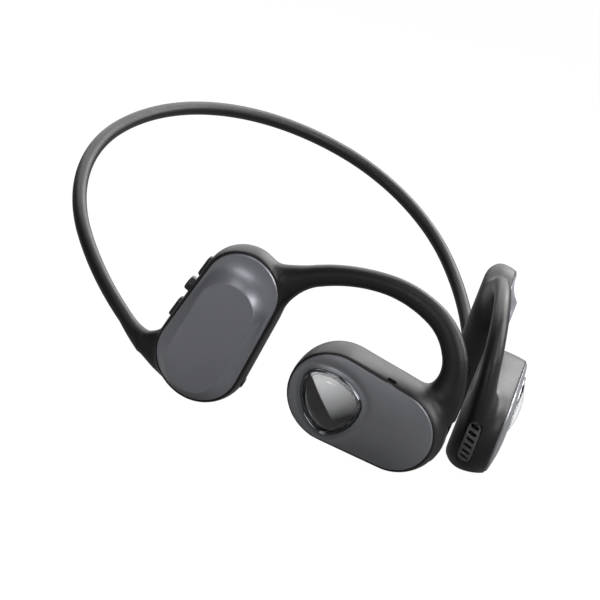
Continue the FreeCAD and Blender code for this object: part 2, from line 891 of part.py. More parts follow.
def driver_magnet():
    base = driver_ring_height + basket_web
    body = Part.makeCylinder(magnet_r, magnet_height, driver_point(base))
    return body.makeChamfer(magnet_chamfer, level_edges(body, driver_level() + base + magnet_height))


def driver_diaphragm():
    """Thin cone inside the ring."""
    reach = V(driver_r - driver_ring_wall - fit_gap, 0, 0)
    rim = driver_point(diaphragm_lift)
    tip = rim + V(0, 0, diaphragm_rise)
    thickness = V(0, 0, diaphragm_thickness)
    profile = Part.makePolygon([rim + reach, rim + reach + thickness, tip + thickness, tip, rim + reach])
    return Part.Face(profile).revolve(rim, V(0, 0, 1), 360)


# ================================================================ neckband
def toe_in():
    """Turn of each unit towards the other that brings the pods' noses to their gap."""
    nose = pod_forward + pod_half_span + pod_front_r
    inner = pod_depth - pod_outset
    swing = math.asin((unit_half_spacing - nose_half_gap) / math.hypot(nose, inner))
    return swing - math.atan2(inner, nose)


def unit_placement():
    """Right unit's frame in the headset, before it is set on a table."""
    a = toe_in()
    forward = V(-math.sin(a), math.cos(a), 0)
    outward = V(math.cos(a), math.sin(a), 0)
    return frame_at(V(unit_half_spacing, 0, 0), forward, outward)


def band_plane():
    """Placement of the sloping plane through both seams."""
    seam = unit_placement().multVec(V(*seam_centre))
    slope = math.tan(math.radians(band_rise))
    return frame_at(V(0, 0, seam.z + slope * seam.y), V(1, 0, 0), V(0, slope, 1))


def band_path():
    """Right half of the band's line, from the middle of the back to the seam."""
    path = ArcPath((0, -band_reach), 0, band_arcs)
    seam = unit_placement().multVec(V(*seam_centre))
    path.run_to(band_plane().inverse().multVec(seam))
    return path


def band_end_heading():
    path = band_path()
    return path.at(path.length())[1]


def band_line(trim):
    """Edges along the whole band, cut short or (for a negative trim) run on straight."""
    path = band_path()
    half = path.edges(0, path.length() - max(trim, 0))
    if trim < 0:
        seam, heading = path.at(path.length())
        half.append(Part.makeLine(seam, seam - direction(heading) * trim))
    other = [edge.mirror(V(0, 0, 0), V(1, 0, 0)) for edge in half]
    return Part.__sortEdges__(half + other)


def in_band(bar, lift):
    bar.translate(V(0, 0, lift))
    return placed(bar, band_plane())


def neckband_wire(grow):
    return in_band(wire(band_line(-band_core_reach), band_wire_size, grow), band_wire_lift)


def neckband_cable(grow):
    return in_band(ribbon(band_line(-band_core_reach), grow), band_ribbon_lift)


def band_bores():
    return [neckband_wire(core_gap), neckband_cable(core_gap)]


def band_end():
    """Tapered right end of the sleeve, from the seam to the plain band."""
    path = band_path()
    plane = band_plane()
    first = placed(seam_section(), unit_placement())
    sections = [first]
    for share in band_taper_shares:
        point, heading = path.at(path.length() - share * band_taper)
        ease = (1 - share) ** 2
        height = 2 * band_r + (seam_height - 2 * band_r) * ease
        thickness = 2 * band_r + (seam_thickness - 2 * band_r) * ease
        out = plane.Rotation.inverted().multVec(unit_placement().Rotation.multVec(V(0, 0, 1)))
        across = out.cross(direction(heading + 180)).normalize()
        through = direction(heading + 180).cross(across).normalize()
        sections.append(placed(oval(point, across, through, height, thickness), plane))
    return Part.makeLoft(sections, True, False)


def neckband_sleeve():
    right = band_end()
    middle = in_band(round_bar(band_line(band_taper), band_r), 0)
    return middle.fuse([right, mirrored(right)]).cut(band_bores())


# ================================================================ assembly
def unit_pieces():
    """Pieces that both units have, by name, in the unit's frame."""
    return {
        "outer_cover": control_cover(),
        "ear_hook": ear_hook(),
        "hook_wire": hook_wire(0),
        "hook_cable": hook_cable(0),
        "pod_housing": pod_housing(),
        "pod_cover": pod_cover(),
        "lens": lens(),
        "lens_bezel": lens_bezel(),
        "reflector": reflector(),
        "grille": grille(),
        "grille_mesh": grille_mesh(),
        "microphone": mic_block(0),
        "driver_basket": driver_basket(),
        "driver_magnet": driver_magnet(),
        "driver_diaphragm": driver_diaphragm(),
    }


def mirrored(shape):
    return shape.mirror(V(0, 0, 0), V(1, 0, 0))


def headset():
    """Every piece of the headset, level with its ear units."""
    unit = unit_placement()
    pieces = {}
    for name, shape in unit_pieces().items():
        right = placed(shape, unit)
        pieces["right_" + name] = right
        pieces["left_" + name] = mirrored(right)
    pieces["right_control_housing"] = placed(control_housing(True), unit)
    pieces["left_control_housing"] = mirrored(placed(control_housing(False), unit))
    pieces["left_blank_plug"] = mirrored(placed(port_flap(), unit))
    pieces["battery_cell"] = mirrored(placed(battery_cell(), unit))
    pieces["cell_board"] = mirrored(placed(cell_board(), unit))
    pieces["port_flap"] = placed(port_flap(), unit)
    pieces["charging_connector"] = placed(charging_connector(), unit)
    pieces["main_board"] = placed(main_board(), unit)
    pieces["button_switches"] = placed(switches(), unit)
    for name, station in button_stations:
        pieces[name] = placed(button(name, station), unit)
    pieces["neckband_sleeve"] = neckband_sleeve()
    pieces["neckband_wire"] = neckband_wire(0)
    pieces["neckband_cable"] = neckband_cable(0)
    return pieces


def pitched_box(shape, pitch):
    """Bounding box of a shape turned nose-down."""
    turned = shape.copy()
    turned.rotate(V(0, 0, 0), V(1, 0, 0), -pitch)
    return turned.optimalBoundingBox(False, False)


def stance_pitch(housing, pod):
    """Nose-down angle at which the control housings and the pods touch the table together."""
    low = 0.0
    high = stance_pitch_limit
    for _ in range(16):
        middle = (low + high) / 2
        if pitched_box(pod, middle).ZMin > pitched_box(housing, middle).ZMin:
            low = middle
        else:
            high = middle
    return middle


def stance(pieces):
    """Placement of the level headset on a table, centred front to back."""
    housing = pieces["right_control_housing"]
    pitch = stance_pitch(housing, pieces["right_pod_housing"])
    front_names = ("pod_housing", "pod_cover", "lens", "ear_hook")
    front_pieces = Part.Compound([pieces["right_" + name] for name in front_names])
    front = pitched_box(front_pieces, pitch).YMax
    back = pitched_box(pieces["neckband_sleeve"], pitch).YMin
    shift = V(0, -(front + back) / 2, -pitched_box(housing, pitch).ZMin)
    return FreeCAD.Placement(shift, FreeCAD.Rotation(V(1, 0, 0), -pitch))


def main():
    os.makedirs("parts", exist_ok=True)
    pieces = headset()
    rest = stance(pieces)
    for name, shape in pieces.items():
        placed(shape, rest).exportStep("parts/" + name + ".step")


if __name__ == "__main__":
    main()
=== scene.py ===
"""Open-ear neckband headphones on a pale table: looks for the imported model.

Everything on an ear unit is made in the unit's own frame, in millimetres:
X forward along the unit, Y up, Z away from the head.  The right unit is turned
into place and the left one is its mirror image.
"""

import bmesh
import bpy
import json
import math
from mathutils import Matrix, Vector


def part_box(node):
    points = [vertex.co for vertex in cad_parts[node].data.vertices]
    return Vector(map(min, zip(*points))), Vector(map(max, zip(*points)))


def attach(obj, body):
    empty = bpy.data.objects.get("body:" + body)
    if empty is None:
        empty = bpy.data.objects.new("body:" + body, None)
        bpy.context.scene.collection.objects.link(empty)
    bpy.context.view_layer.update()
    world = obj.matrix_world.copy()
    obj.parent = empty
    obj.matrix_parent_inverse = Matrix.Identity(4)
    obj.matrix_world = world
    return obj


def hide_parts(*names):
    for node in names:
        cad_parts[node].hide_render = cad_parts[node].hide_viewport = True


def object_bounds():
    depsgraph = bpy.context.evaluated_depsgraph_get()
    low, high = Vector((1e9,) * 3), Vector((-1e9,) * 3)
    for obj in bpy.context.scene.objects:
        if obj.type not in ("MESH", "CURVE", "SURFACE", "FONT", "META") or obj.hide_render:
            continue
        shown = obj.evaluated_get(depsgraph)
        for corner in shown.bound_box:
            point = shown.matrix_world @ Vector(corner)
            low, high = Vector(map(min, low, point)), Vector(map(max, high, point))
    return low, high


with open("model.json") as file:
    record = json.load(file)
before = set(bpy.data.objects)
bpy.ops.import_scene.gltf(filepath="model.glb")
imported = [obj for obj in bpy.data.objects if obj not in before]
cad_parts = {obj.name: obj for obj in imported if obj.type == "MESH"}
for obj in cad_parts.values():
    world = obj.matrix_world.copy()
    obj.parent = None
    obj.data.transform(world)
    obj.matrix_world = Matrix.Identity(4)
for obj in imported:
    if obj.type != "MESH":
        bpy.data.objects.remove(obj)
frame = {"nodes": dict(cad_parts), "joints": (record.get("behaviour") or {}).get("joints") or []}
cad_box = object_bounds()
MM = 0.001

# ---------------- control housing and cover
control_lean = 76.7
control_half_span = 11.1
control_low_r = 11.4
control_high_r = 9.95
control_depth = 8.1
control_lip = 0.55
control_bulge = 1.35
control_inner_inset = 2.2
head_rounding = (0.7, 0.35)   # how far in and how far up the edge towards the head is rounded
rim_drop = 0.3
rebate_gap = 0.16
rebate_depth = 1.6
cover_skirt = 1.4
cover_skirt_wall = (1.5, 1.2) # of the control cover and of the pod's cover
cover_chamfer = 0.25
island_r = 7.8
island_rise = 2.7
island_low = -12.0
island_high = 5.2
island_edge = 0.12
hollow_run = (2.2, 10.2)      # stretch in which the slope grows hollow towards its upper end
slope_power = (1.15, 2.5)     # course of the slope at the sides and at the hollow end

# ---------------- pod, cover and lens
pod_forward = 44.1
pod_up = -0.73
pod_outset = 10.85
pod_lean = -3.4
pod_half_span = 8.3
pod_rear_r = 11.4
pod_front_r = 10.3
pod_depth = 11.5
pod_bulge = 1.85
pod_rear_share = 0.4
pod_lip = 0.45
pod_inner_inset = 1.3
crown_rise = 1.3
crown_reach = 9.5
lens_groove = 0.4
lens_groove_width = 1.0
lens_forward = 35.5
lens_up = -1.2
lens_corner_r = 4.4
lens_corners = ((25.0, 4.3), (140.8, 4.9), (282.7, 4.0))   # angle and reach of each corner's centre
lens_side_bow = 6.3
lens_reach = 8.7              # of the farthest corner from the middle
lens_rise = 2.75
lens_dome_r = 17.0
lens_shoulder = 0.9
lens_wall = 0.8
lens_seat = 0.5
lens_gap = 0.05
bezel_width = 0.8
bezel_top = 1.1
bezel_foot = 1.5
dish_level = 0.95
dish_hollow = 0.4
dish_thickness = 0.45
driver_place = (50.4, -0.73, 2.6)

# ---------------- grille and microphone
grille_length = 12.6
grille_width = 3.5
grille_level = -6.6
grille_up = 0.5
grille_slots = 6
grille_thickness = 1.2
grille_pocket = (8.4, 16.0)   # from the pod's nose centre to the pocket's floor and past the skin
slot_pitch = 1.78
slot_length = 2.3
slot_width = 0.95
slot_skew = 17.0
slot_rounding = 0.16
cloth_margin = (1.2, 0.9)     # the cloth is this much shorter and narrower than the grille
cloth_thickness = 0.25
cloth_gap = 0.1
grille_proud = 0.02
mic_forward = 46.6
mic_slot_length = 2.5
mic_slot_height = 1.1
mic_slot_depth = 1.6
mic_level = -1.15
pocket_gap = 0.3              # an insert's pocket is this much longer and wider than the insert

# ---------------- hook, neck and band
hook_out = -3.4
hook_forward_tilt = 7.3
hook_up_tilt = -5.9
hook_start = (6.3, 11.1)
hook_heading = 49.8
hook_arcs = ((48.7, -41.9), (29.4, -28.5), (15.6, -81.5), (12.0, -25.0))
hook_sections = (
    (0.00, 17.0, 6.2),
    (0.12, 9.4, 5.7),
    (0.20, 6.0, 4.9),
    (0.27, 5.4, 4.4),
    (0.42, 5.1, 4.2),
    (0.58, 5.6, 4.3),
    (0.72, 6.0, 4.6),
    (0.82, 6.8, 5.2),
    (0.89, 8.8, 6.1),
    (1.00, 14.0, 8.4),
)
foot_start = (9.0, 3.7, 6.4)  # how far up and out the foot begins, and its thickness there
foot_end = (-4.5, 4.3, 8.0)
foot_out = 65.3
foot_ease = 1.0
foot_width = 10.0
seam_centre = (-19.0, -15.0, -4.3)
seam_height = 6.5
seam_thickness = 5.0
neck_root = (-4.0, -14.3, 19.6, 6.4)
neck_waist = (-13.4, -14.8, 13.2, 6.2)
neck_waist_share = 0.62
neck_overrun = 2.5            # the neck is made this much too long, then cut at the seam
band_rise = 22.0
band_reach = 107.3
band_arcs = ((66.2, 34.7), (51.4, 54.0))
band_r = 1.95
band_flare = (6.5, 8.5)       # length in which the sleeve widens towards its seam, above and below
band_turn = 14.0              # length in which its sections turn square to the band
seam_edge = 0.2               # chamfer that leaves a fine line at the seam

# ---------------- buttons, flap and port
button_level = -4.0
buttons = {                   # place along the side, length, width, and how proud it stands
    "volume_up_button": (8.6, 6.2, 2.9, 0.65),
    "play_button": (2.1, 4.1, 3.7, 1.4),
    "volume_down_button": (-5.5, 6.2, 2.9, 0.65),
}
button_root = 1.1
button_gap = 0.26
button_rounding = 0.45
flap_station = -8.4
flap_level = -4.8
flap_size = (12.0, 4.6, 1.5)
flap_pad = (2.6, 3.2, 0.25)   # length and width of the finger lip, and how proud it stands
flap_pad_root = 0.8
flap_pad_rounding = 0.12
flap_pad_station = -12.2
port_station = -7.9
port_size = (9.3, 3.6, 9.0)

# ---------------- soft blends of the skin
voxel = 0.33
blend_strength = 25.0         # how far the blends spread, in square millimetres
blend_fade = 1.6              # the blend stops this far short of a cover's rim
hook_meetings = ((0.10, 10.0), (0.93, 11.0))   # share of the hook's way, and the blend's reach there
foot_meeting = 9.0
neck_meeting = ((-10.5, -14.0), 13.0)


# ================ frames
def unit_frame():
    """Right unit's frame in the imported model, from its flap hinge and its driver."""
    hinge = next(joint for joint in frame["joints"] if joint["name"] == "port_flap_hinge")
    outward = Vector(hinge["axis"]).normalized()
    pitch = math.atan2(-outward.z, outward.y)
    up = Vector((0, math.sin(pitch), math.cos(pitch)))
    forward = up.cross(outward)
    turn = Matrix((forward, up, outward)).transposed()
    low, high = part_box("right_driver_basket")
    origin = (low + high) / 2 - turn @ Vector(driver_place) * MM
    return Matrix.Translation(origin) @ turn.to_4x4() @ Matrix.Scale(MM, 4), pitch


UNIT, PITCH = unit_frame()
MIRROR = Matrix.Diagonal((-1, 1, 1, 1))


def headset_frame():
    """Frame that is level with the ear units, in millimetres, centred between them."""
    turn = Matrix.Rotation(-PITCH, 4, "X")
    origin = UNIT.translation.copy()
    origin.x = 0
    return Matrix.Translation(origin) @ turn @ Matrix.Scale(MM, 4)


HEADSET = headset_frame()


def axes_at(origin, x_axis, z_axis):
    """Matrix whose X and Z columns lie along the given directions."""
    z = Vector(z_axis).normalized()
    y = z.cross(Vector(x_axis)).normalized()
    x = y.cross(z)
    turn = Matrix((x, y, z)).transposed()
    return Matrix.Translation(Vector(origin)) @ turn.to_4x4()


# ================ mesh helpers
def add_ring(bm, points):
    """Closed loop of edges through the given points."""
    verts = [bm.verts.new(point) for point in points]
    return [bm.edges.new((vert, verts[index - 1])) for index, vert in enumerate(verts)]


def skin(rings, cap_first=True, cap_last=True):
    """Surface over a stack of rings that have the same number of points."""
    bm = bmesh.new()
    loops = [add_ring(bm, ring) for ring in rings]
    for first, second in zip(loops, loops[1:]):
        bmesh.ops.bridge_loops(bm, edges=first + second)
    if cap_first:
        bmesh.ops.contextual_create(bm, geom=loops[0])
    if cap_last:
        bmesh.ops.contextual_create(bm, geom=loops[-1])
    bmesh.ops.recalc_face_normals(bm, faces=bm.faces)
    return bm


def hoop(rings):
    """Surface over a stack of rings whose last is joined back to the first."""
    bm = skin(rings, cap_first=False, cap_last=False)
    bmesh.ops.bridge_loops(bm, edges=[edge for edge in bm.edges if edge.is_boundary])
    bmesh.ops.recalc_face_normals(bm, faces=bm.faces)
    return bm


def to_object(bm, name):
    mesh = bpy.data.meshes.new(name)
    bm.to_mesh(mesh)
    bm.free()
    obj = bpy.data.objects.new(name, mesh)
    bpy.context.scene.collection.objects.link(obj)
    return obj


def bake(obj):
    """Make the modifiers' result the object's own mesh."""
    graph = bpy.context.evaluated_depsgraph_get()
    mesh = bpy.data.meshes.new_from_object(obj.evaluated_get(graph))
    obj.modifiers.clear()
    spent = obj.data
    obj.data = mesh
    bpy.data.meshes.remove(spent)


def discard(obj):
    mesh = obj.data
    bpy.data.objects.remove(obj)
    bpy.data.meshes.remove(mesh)


def combine(obj, others, operation):
    """Boolean of an object with other closed forms, which are used up."""
    for other in others:
        cut = obj.modifiers.new("combine", "BOOLEAN")
        cut.operation = operation
        cut.solver = "EXACT"
        cut.object = other
    bake(obj)
    for other in others:
        discard(other)


def round_edges(obj, width, segments, angle=40):
    soften = obj.modifiers.new("round", "BEVEL")
    soften.width = width
    soften.segments = segments
    soften.limit_method = "ANGLE"
    soften.angle_limit = math.radians(angle)
    bake(obj)


def thicken(obj, thickness):
    """Give a surface a wall on its inner side."""
    wall = obj.modifiers.new("wall", "SOLIDIFY")
    wall.thickness = thickness
    wall.offset = -1
    bake(obj)


def placed(obj, matrix):
    obj.data.transform(matrix)
    return obj


def settle(obj, matrix, sharp=35):
    """Put a finished mesh in its place in the model and shade it smooth up to its sharp edges."""
    mesh = obj.data
    mesh.transform(matrix)
    if matrix.determinant() < 0:
        mesh.flip_normals()
    mesh.shade_smooth()
    mesh.set_sharp_from_angle(angle=math.radians(sharp))


# ================ outlines
def tapered_ring(centre, lean, half_span, low_r, high_r, level, arc_steps=30, side_steps=14):
    """Two end circles joined by their outer tangents, high end along the lean."""
    tilt = math.asin((low_r - high_r) / (2 * half_span))
    turn = math.pi / 2 - tilt
    arcs = ((half_span, high_r, -turn, turn), (-half_span, low_r, turn, 2 * math.pi - turn))
    flat = []
    for place, radius, start, end in arcs:
        for step in range(arc_steps + 1):
            a = start + (end - start) * step / arc_steps
            flat.append(Vector((place + radius * math.cos(a), radius * math.sin(a), 0)))
    first = flat[:arc_steps + 1]
    second = flat[arc_steps + 1:]
    points = first + between(first[-1], second[0], side_steps) + second
    points += between(second[-1], first[0], side_steps)
    place = Matrix.Translation((centre[0], centre[1], level)) @ Matrix.Rotation(math.radians(lean), 4, "Z")
    return [place @ point for point in points]


def plane_axes(angle):
    """Unit vectors along an angle in the XY plane and to the left of it."""
    along = Vector((math.cos(angle), math.sin(angle), 0))
    return along, Vector((-along.y, along.x, 0))


def between(start, end, steps):
    """Inner points of a straight run."""
    return [start.lerp(end, step / steps) for step in range(1, steps)]


def control_ring(grow, level):
    return tapered_ring((0, 0), control_lean, control_half_span, control_low_r + grow,
                        control_high_r + grow, level)


def pod_ring(grow, drop, rear_ease=0.0):
    return tapered_ring((pod_forward, pod_up), pod_lean, pod_half_span, pod_rear_r + grow - rear_ease,
                        pod_front_r + grow, pod_outset + drop)


def barrel(levels, drop):
    """How far a barrel-shaped side stands out at a level, on the one smooth curve through its levels."""
    total = 0.0
    for level, grow in levels:
        weight = 1.0
        for other, _ in levels:
            if other != level:
                weight *= (drop - other) / (level - other)
        total += weight * grow
    return total


def obround_ring(length, width, level, arc_steps=14):
    half = (length - width) / 2
    return tapered_ring((0, 0), 0, half, width / 2, width / 2, level, arc_steps, 2)


def obround_block(length, width, low, high, name):
    rings = [obround_ring(length, width, low), obround_ring(length, width, high)]
    return to_object(skin(rings), name)


class ArcPath:
    """Chain of tangent arcs in the XY plane; a positive turn is to the left."""

    def __init__(self, start, heading, arcs):
        self.start = Vector((start[0], start[1], 0))
        self.heading = heading
        self.arcs = list(arcs)

    def length(self):
        return sum(radius * math.radians(abs(turn)) for radius, turn in self.arcs)

    def at(self, distance):
        """Point and heading in radians at a distance along the path."""
        point = self.start
        heading = math.radians(self.heading)
        left = distance
        for radius, turn in self.arcs:
            side = math.copysign(1, turn)
            step = min(left, radius * math.radians(abs(turn)))
            _, normal = plane_axes(heading)
            centre = point + normal * radius * side
            heading += side * step / radius
            _, normal = plane_axes(heading)
            point = centre - normal * radius * side
            left -= step
        return point, heading

    def run_to(self, target):
        """Add the one arc that leaves the path's end and reaches a point."""
        point, heading = self.at(self.length())
        chord = Vector((target[0], target[1], 0)) - point
        swing = math.atan2(chord.y, chord.x) - heading
        radius = chord.length / (2 * math.sin(abs(swing)))
        self.arcs.append((radius, math.degrees(2 * swing)))


def oval_ring(centre, across, through, width, thickness, count=40):
    """Ellipse with its width along one direction and its thickness along another."""
    points = []
    for step in range(count):
        a = 2 * math.pi * step / count
        aside = width / 2 * math.cos(a)
        deep = thickness / 2 * math.sin(a)
        points.append(Vector(centre) + across * aside + through * deep)
    return points


def eased(stations, share):
    """Sizes at a share of the way, run smoothly through the given stations."""
    last = len(stations) - 1
    index = max(i for i in range(last) if stations[i][0] <= share or i == 0)
    before = stations[max(index - 1, 0)]
    start, end = stations[index], stations[index + 1]
    after = stations[min(index + 2, last)]
    span = end[0] - start[0]
    t = (share - start[0]) / span
    result = []
    for k in range(1, len(start)):
        slope_in = (end[k] - before[k]) / (end[0] - before[0]) * span
        slope_out = (after[k] - start[k]) / (after[0] - start[0]) * span
        result.append((2 * t ** 3 - 3 * t ** 2 + 1) * start[k] + (t ** 3 - 2 * t ** 2 + t) * slope_in
                      + (3 * t ** 2 - 2 * t ** 3) * end[k] + (t ** 3 - t ** 2) * slope_out)
    return result


# ================ closed forms of a unit
def control_side(drop):
    levels = (
        (-rim_drop, control_lip),
        (-0.24 * control_depth, control_lip * 0.3 + control_bulge * 0.7),
        (-0.50 * control_depth, control_bulge),
        (-0.78 * control_depth, control_bulge * 0.4),
        (-control_depth, -control_inner_inset),
    )
    return barrel(levels, drop)


def barrel_form(section, depth, steps):
    """Barrel-sided form, rounded towards the head; section gives its ring at a level and an inset."""
    inset, rise = head_rounding
    rings = [section(-depth, inset)]
    first = rise - depth
    for step in range(steps + 1):
        rings.append(section(first + (-rim_drop - first) * step / steps, 0))
    return skin(rings)


def control_form(proud=0.0):
    """Control housing, or the same form a little larger all round."""
    def section(drop, inset):
        return control_ring(control_side(drop) - inset + proud, drop)

    return barrel_form(section, control_depth, 16)


def pod_side(drop):
    levels = (
        (-rim_drop, pod_lip),
        (-0.22 * pod_depth, pod_bulge * 0.72),
        (-0.50 * pod_depth, pod_bulge),
        (-0.76 * pod_depth, pod_bulge * 0.70),
        (-pod_depth, -pod_inner_inset),
    )
    return barrel(levels, drop)


def pod_form():
    """Pod that bulges less at its rear."""
    def section(drop, inset):
        grow = pod_side(drop)
        return pod_ring(grow - inset, drop, max(grow - pod_lip, 0) * (1 - pod_rear_share))

    return barrel_form(section, pod_depth, 20)


def hook_plane():
    outward = Vector((-math.tan(math.radians(hook_forward_tilt)), -math.tan(math.radians(hook_up_tilt)), 1))
    return axes_at((0, 0, hook_out), (1, 0, 0), outward)


def hook_path():
    return ArcPath(hook_start, hook_heading, hook_arcs)


def hook_form():
    path = hook_path()
    plane = hook_plane()
    rings = []
    steps = 70
    for step in range(steps + 1):
        share = step / steps
        point, heading = path.at(share * path.length())
        width, thickness = eased(hook_sections, share)
        _, across = plane_axes(heading)
        ring = oval_ring(point, across, Vector((0, 0, 1)), width, thickness)
        rings.append([plane @ vertex for vertex in ring])
    return skin(rings)


def foot_form():
    """Foot of the hook, spread down the pod's nose so that the two flow into each other."""
    rings = []
    steps = 12
    for step in range(steps + 1):
        share = step / steps
        outer = foot_out - foot_ease * (2 * max(share - 0.5, 0)) ** 2
        up, level, thickness = Vector(foot_start).lerp(Vector(foot_end), share)
        middle = (outer - foot_width / 2, up, level)
        rings.append(oval_ring(middle, Vector((1, 0, 0)), Vector((0, 0, 1)), foot_width, thickness))
    return skin(rings)


def seam_in_headset():
    return HEADSET.inverted() @ UNIT @ Vector(seam_centre)


def band_plane():
    """Sloping plane through both seams, in the headset's frame."""
    seam = seam_in_headset()
    slope = math.tan(math.radians(band_rise))
    return axes_at((0, 0, seam.z + slope * seam.y), (1, 0, 0), (0, slope, 1))


def band_path():
    path = ArcPath((0, -band_reach), 0, band_arcs)
    path.run_to(band_plane().inverted() @ seam_in_headset())
    return path


def seam_axes():
    """Directions along, across and through the neck at the upright seam, in the unit's frame."""
    path = band_path()
    _, heading = path.at(path.length())
    ahead, _ = plane_axes(heading)
    turn = (UNIT.inverted() @ HEADSET @ band_plane()).to_3x3()
    away = turn @ -ahead
    away.y = 0
    away.normalize()
    across = Vector((0, 1, 0))
    return away, across, across.cross(away)


def neck_form():
    """Flared root that carries the band, run on past the seam."""
    away, across, through = seam_axes()
    stations = (
        (0.0,) + neck_root,
        (neck_waist_share,) + neck_waist,
        (1.0, seam_centre[0], seam_centre[1], seam_height, seam_thickness),
    )
    rings = []
    steps = 24
    for step in range(steps + 1):
        share = step / steps
        forward, up, height, thickness = eased(stations, share)
        deep = Vector((0, 0, 1)).lerp(through if through.z > 0 else -through, share ** 2).normalized()
        rings.append(oval_ring((forward, up, seam_centre[2]), across, deep, height, thickness))
    rings.append([point + away * neck_overrun for point in rings[-1]])
    return skin(rings)


# ================ seamless skin of a unit
def side_frame(station, front, level):
    """Matrix on the housing's flat side: Z outward, X along the side."""
    tilt = math.asin((control_low_r - control_high_r) / (2 * control_half_span))
    sign = -1 if front else 1
    along = Vector((math.cos(tilt), -sign * math.sin(tilt), 0))
    normal = Vector((math.sin(tilt), sign * math.cos(tilt), 0))
    middle = Vector((-control_half_span, 0, 0)) + normal * (control_low_r + control_bulge)
    point = middle + along * ((station + control_half_span) / along.x)
    lean = Matrix.Rotation(math.radians(control_lean), 3, "Z")
    point = lean @ point
    return axes_at((point.x, point.y, level), lean @ along, lean @ normal)


def nose_frame():
    """Matrix on the pod's nose axis: Z forward, X up along the grille."""
    lean = math.radians(pod_lean)
    ahead, up = plane_axes(lean)
    middle = Vector((pod_forward, pod_up, pod_outset + grille_level)) + ahead * pod_half_span
    return axes_at(middle + up * grille_up, up, ahead)


def mic_frame():
    """Matrix on the pod's upper wall at the microphone: Z up out of the wall, X along it."""
    lean = math.radians(pod_lean)
    tilt = math.asin((pod_rear_r - pod_front_r) / (2 * pod_half_span))
    ahead = mic_forward - pod_forward
    middle_r = pod_rear_r + (pod_front_r - pod_rear_r) * (ahead / pod_half_span + 1) / 2
    along, up = plane_axes(lean - tilt)
    base = Vector((mic_forward, pod_up + ahead * math.tan(lean), pod_outset + mic_level))
    return axes_at(base + up * middle_r, along, up)


def seam_cutter():
    """Block that squares the neck off at the seam."""
    away, across, _ = seam_axes()
    block = obround_block(2 * seam_height, 2 * seam_thickness, 0, neck_overrun + 2, "cut")
    return placed(block, axes_at(seam_centre, across, away))


def control_cutters():
    """Openings that only the unit with the buttons has: microphone, charging port and buttons."""
    slot = obround_block(mic_slot_length, mic_slot_height, -mic_slot_depth, 4, "cut")
    length, width, depth = port_size
    tunnel = obround_block(length, width, -depth, 1, "cut")
    cutters = [placed(slot, mic_frame()), placed(tunnel, side_frame(port_station, True, flap_level))]
    for station, length, width, _ in buttons.values():
        hole = obround_block(length + button_gap, width + button_gap, -button_root - 0.5, 3, "cut")
        cutters.append(placed(hole, side_frame(station, False, button_level)))
    return cutters


def unit_cutters():
    """Cuts of both units: seam, rebates of the covers, grille pocket and flap recess."""
    cutters = [seam_cutter()]
    for ring in (control_ring, pod_ring):
        cutters.append(to_object(skin([ring(rebate_gap, -rebate_depth), ring(rebate_gap, 3)]), "cut"))
    pocket = obround_block(grille_length + pocket_gap, grille_width + pocket_gap, *grille_pocket, "cut")
    length, width, depth = flap_size
    recess = obround_block(length + pocket_gap, width + pocket_gap, -depth - pocket_gap / 2, 3, "cut")
    cutters.append(placed(pocket, nose_frame()))
    cutters.append(placed(recess, side_frame(flap_station, True, flap_level)))
    return cutters


def blend_weight(point):
    """How strongly the skin is relaxed at a point: fully where two forms meet, not at all at a rim."""
    path = hook_path()
    plane = hook_plane()
    meetings = [(plane @ path.at(share * path.length())[0], reach) for share, reach in hook_meetings]
    meetings.append((Vector((foot_out - 2, 0, foot_end[1])), foot_meeting))
    meetings.append((Vector((*neck_meeting[0], seam_centre[2])), neck_meeting[1]))
    near = max(1 - (point - centre).length / reach for centre, reach in meetings)
    rim = pod_outset if point.x > (pod_forward - pod_rear_r) / 2 + 4 else 0
    clear = (rim - rim_drop - point.z) / blend_fade
    return min(max(near * 2, 0), 1) * min(max(clear, 0), 1)


def merged(forms, name):
    """One closed surface round several closed forms that overlap."""
    bm = bmesh.new()
    for form in forms:
        piece = bpy.data.meshes.new("form")
        form.to_mesh(piece)
        form.free()
        bm.from_mesh(piece)
        bpy.data.meshes.remove(piece)
    obj = to_object(bm, name)
    remesh = obj.modifiers.new("union", "REMESH")
    remesh.mode = "VOXEL"
    remesh.voxel_size = voxel
    bake(obj)
    return obj


def relax(obj, iterations, group=""):
    smooth = obj.modifiers.new("relax", "SMOOTH")
    smooth.factor = 0.5
    smooth.iterations = iterations
    smooth.vertex_group = group


def unit_skin(name, with_controls):
    """One smooth skin over housing, neck, hook and pod, with its openings."""
    obj = merged((control_form(), pod_form(), hook_form(), foot_form(), neck_form()), name)
    group = obj.vertex_groups.new(name="blend")
    for vertex in obj.data.vertices:
        group.add([vertex.index], blend_weight(vertex.co), "REPLACE")
    relax(obj, round(blend_strength / voxel ** 2), "blend")
    relax(obj, 5)
    bake(obj)
    obj.vertex_groups.clear()
    combine(obj, unit_cutters() + (control_cutters() if with_controls else []), "DIFFERENCE")
    return obj


# ================ covers
def scoop(mix, station):
    """Height of the control cover's slope: plane at the sides, hollowed at the upper end."""
    start, end = hollow_run
    hollow = min(max((station - start) / (end - start), 0), 1)
    plain, hollowed = slope_power
    return island_rise * mix ** (plain + (hollowed - plain) * hollow)


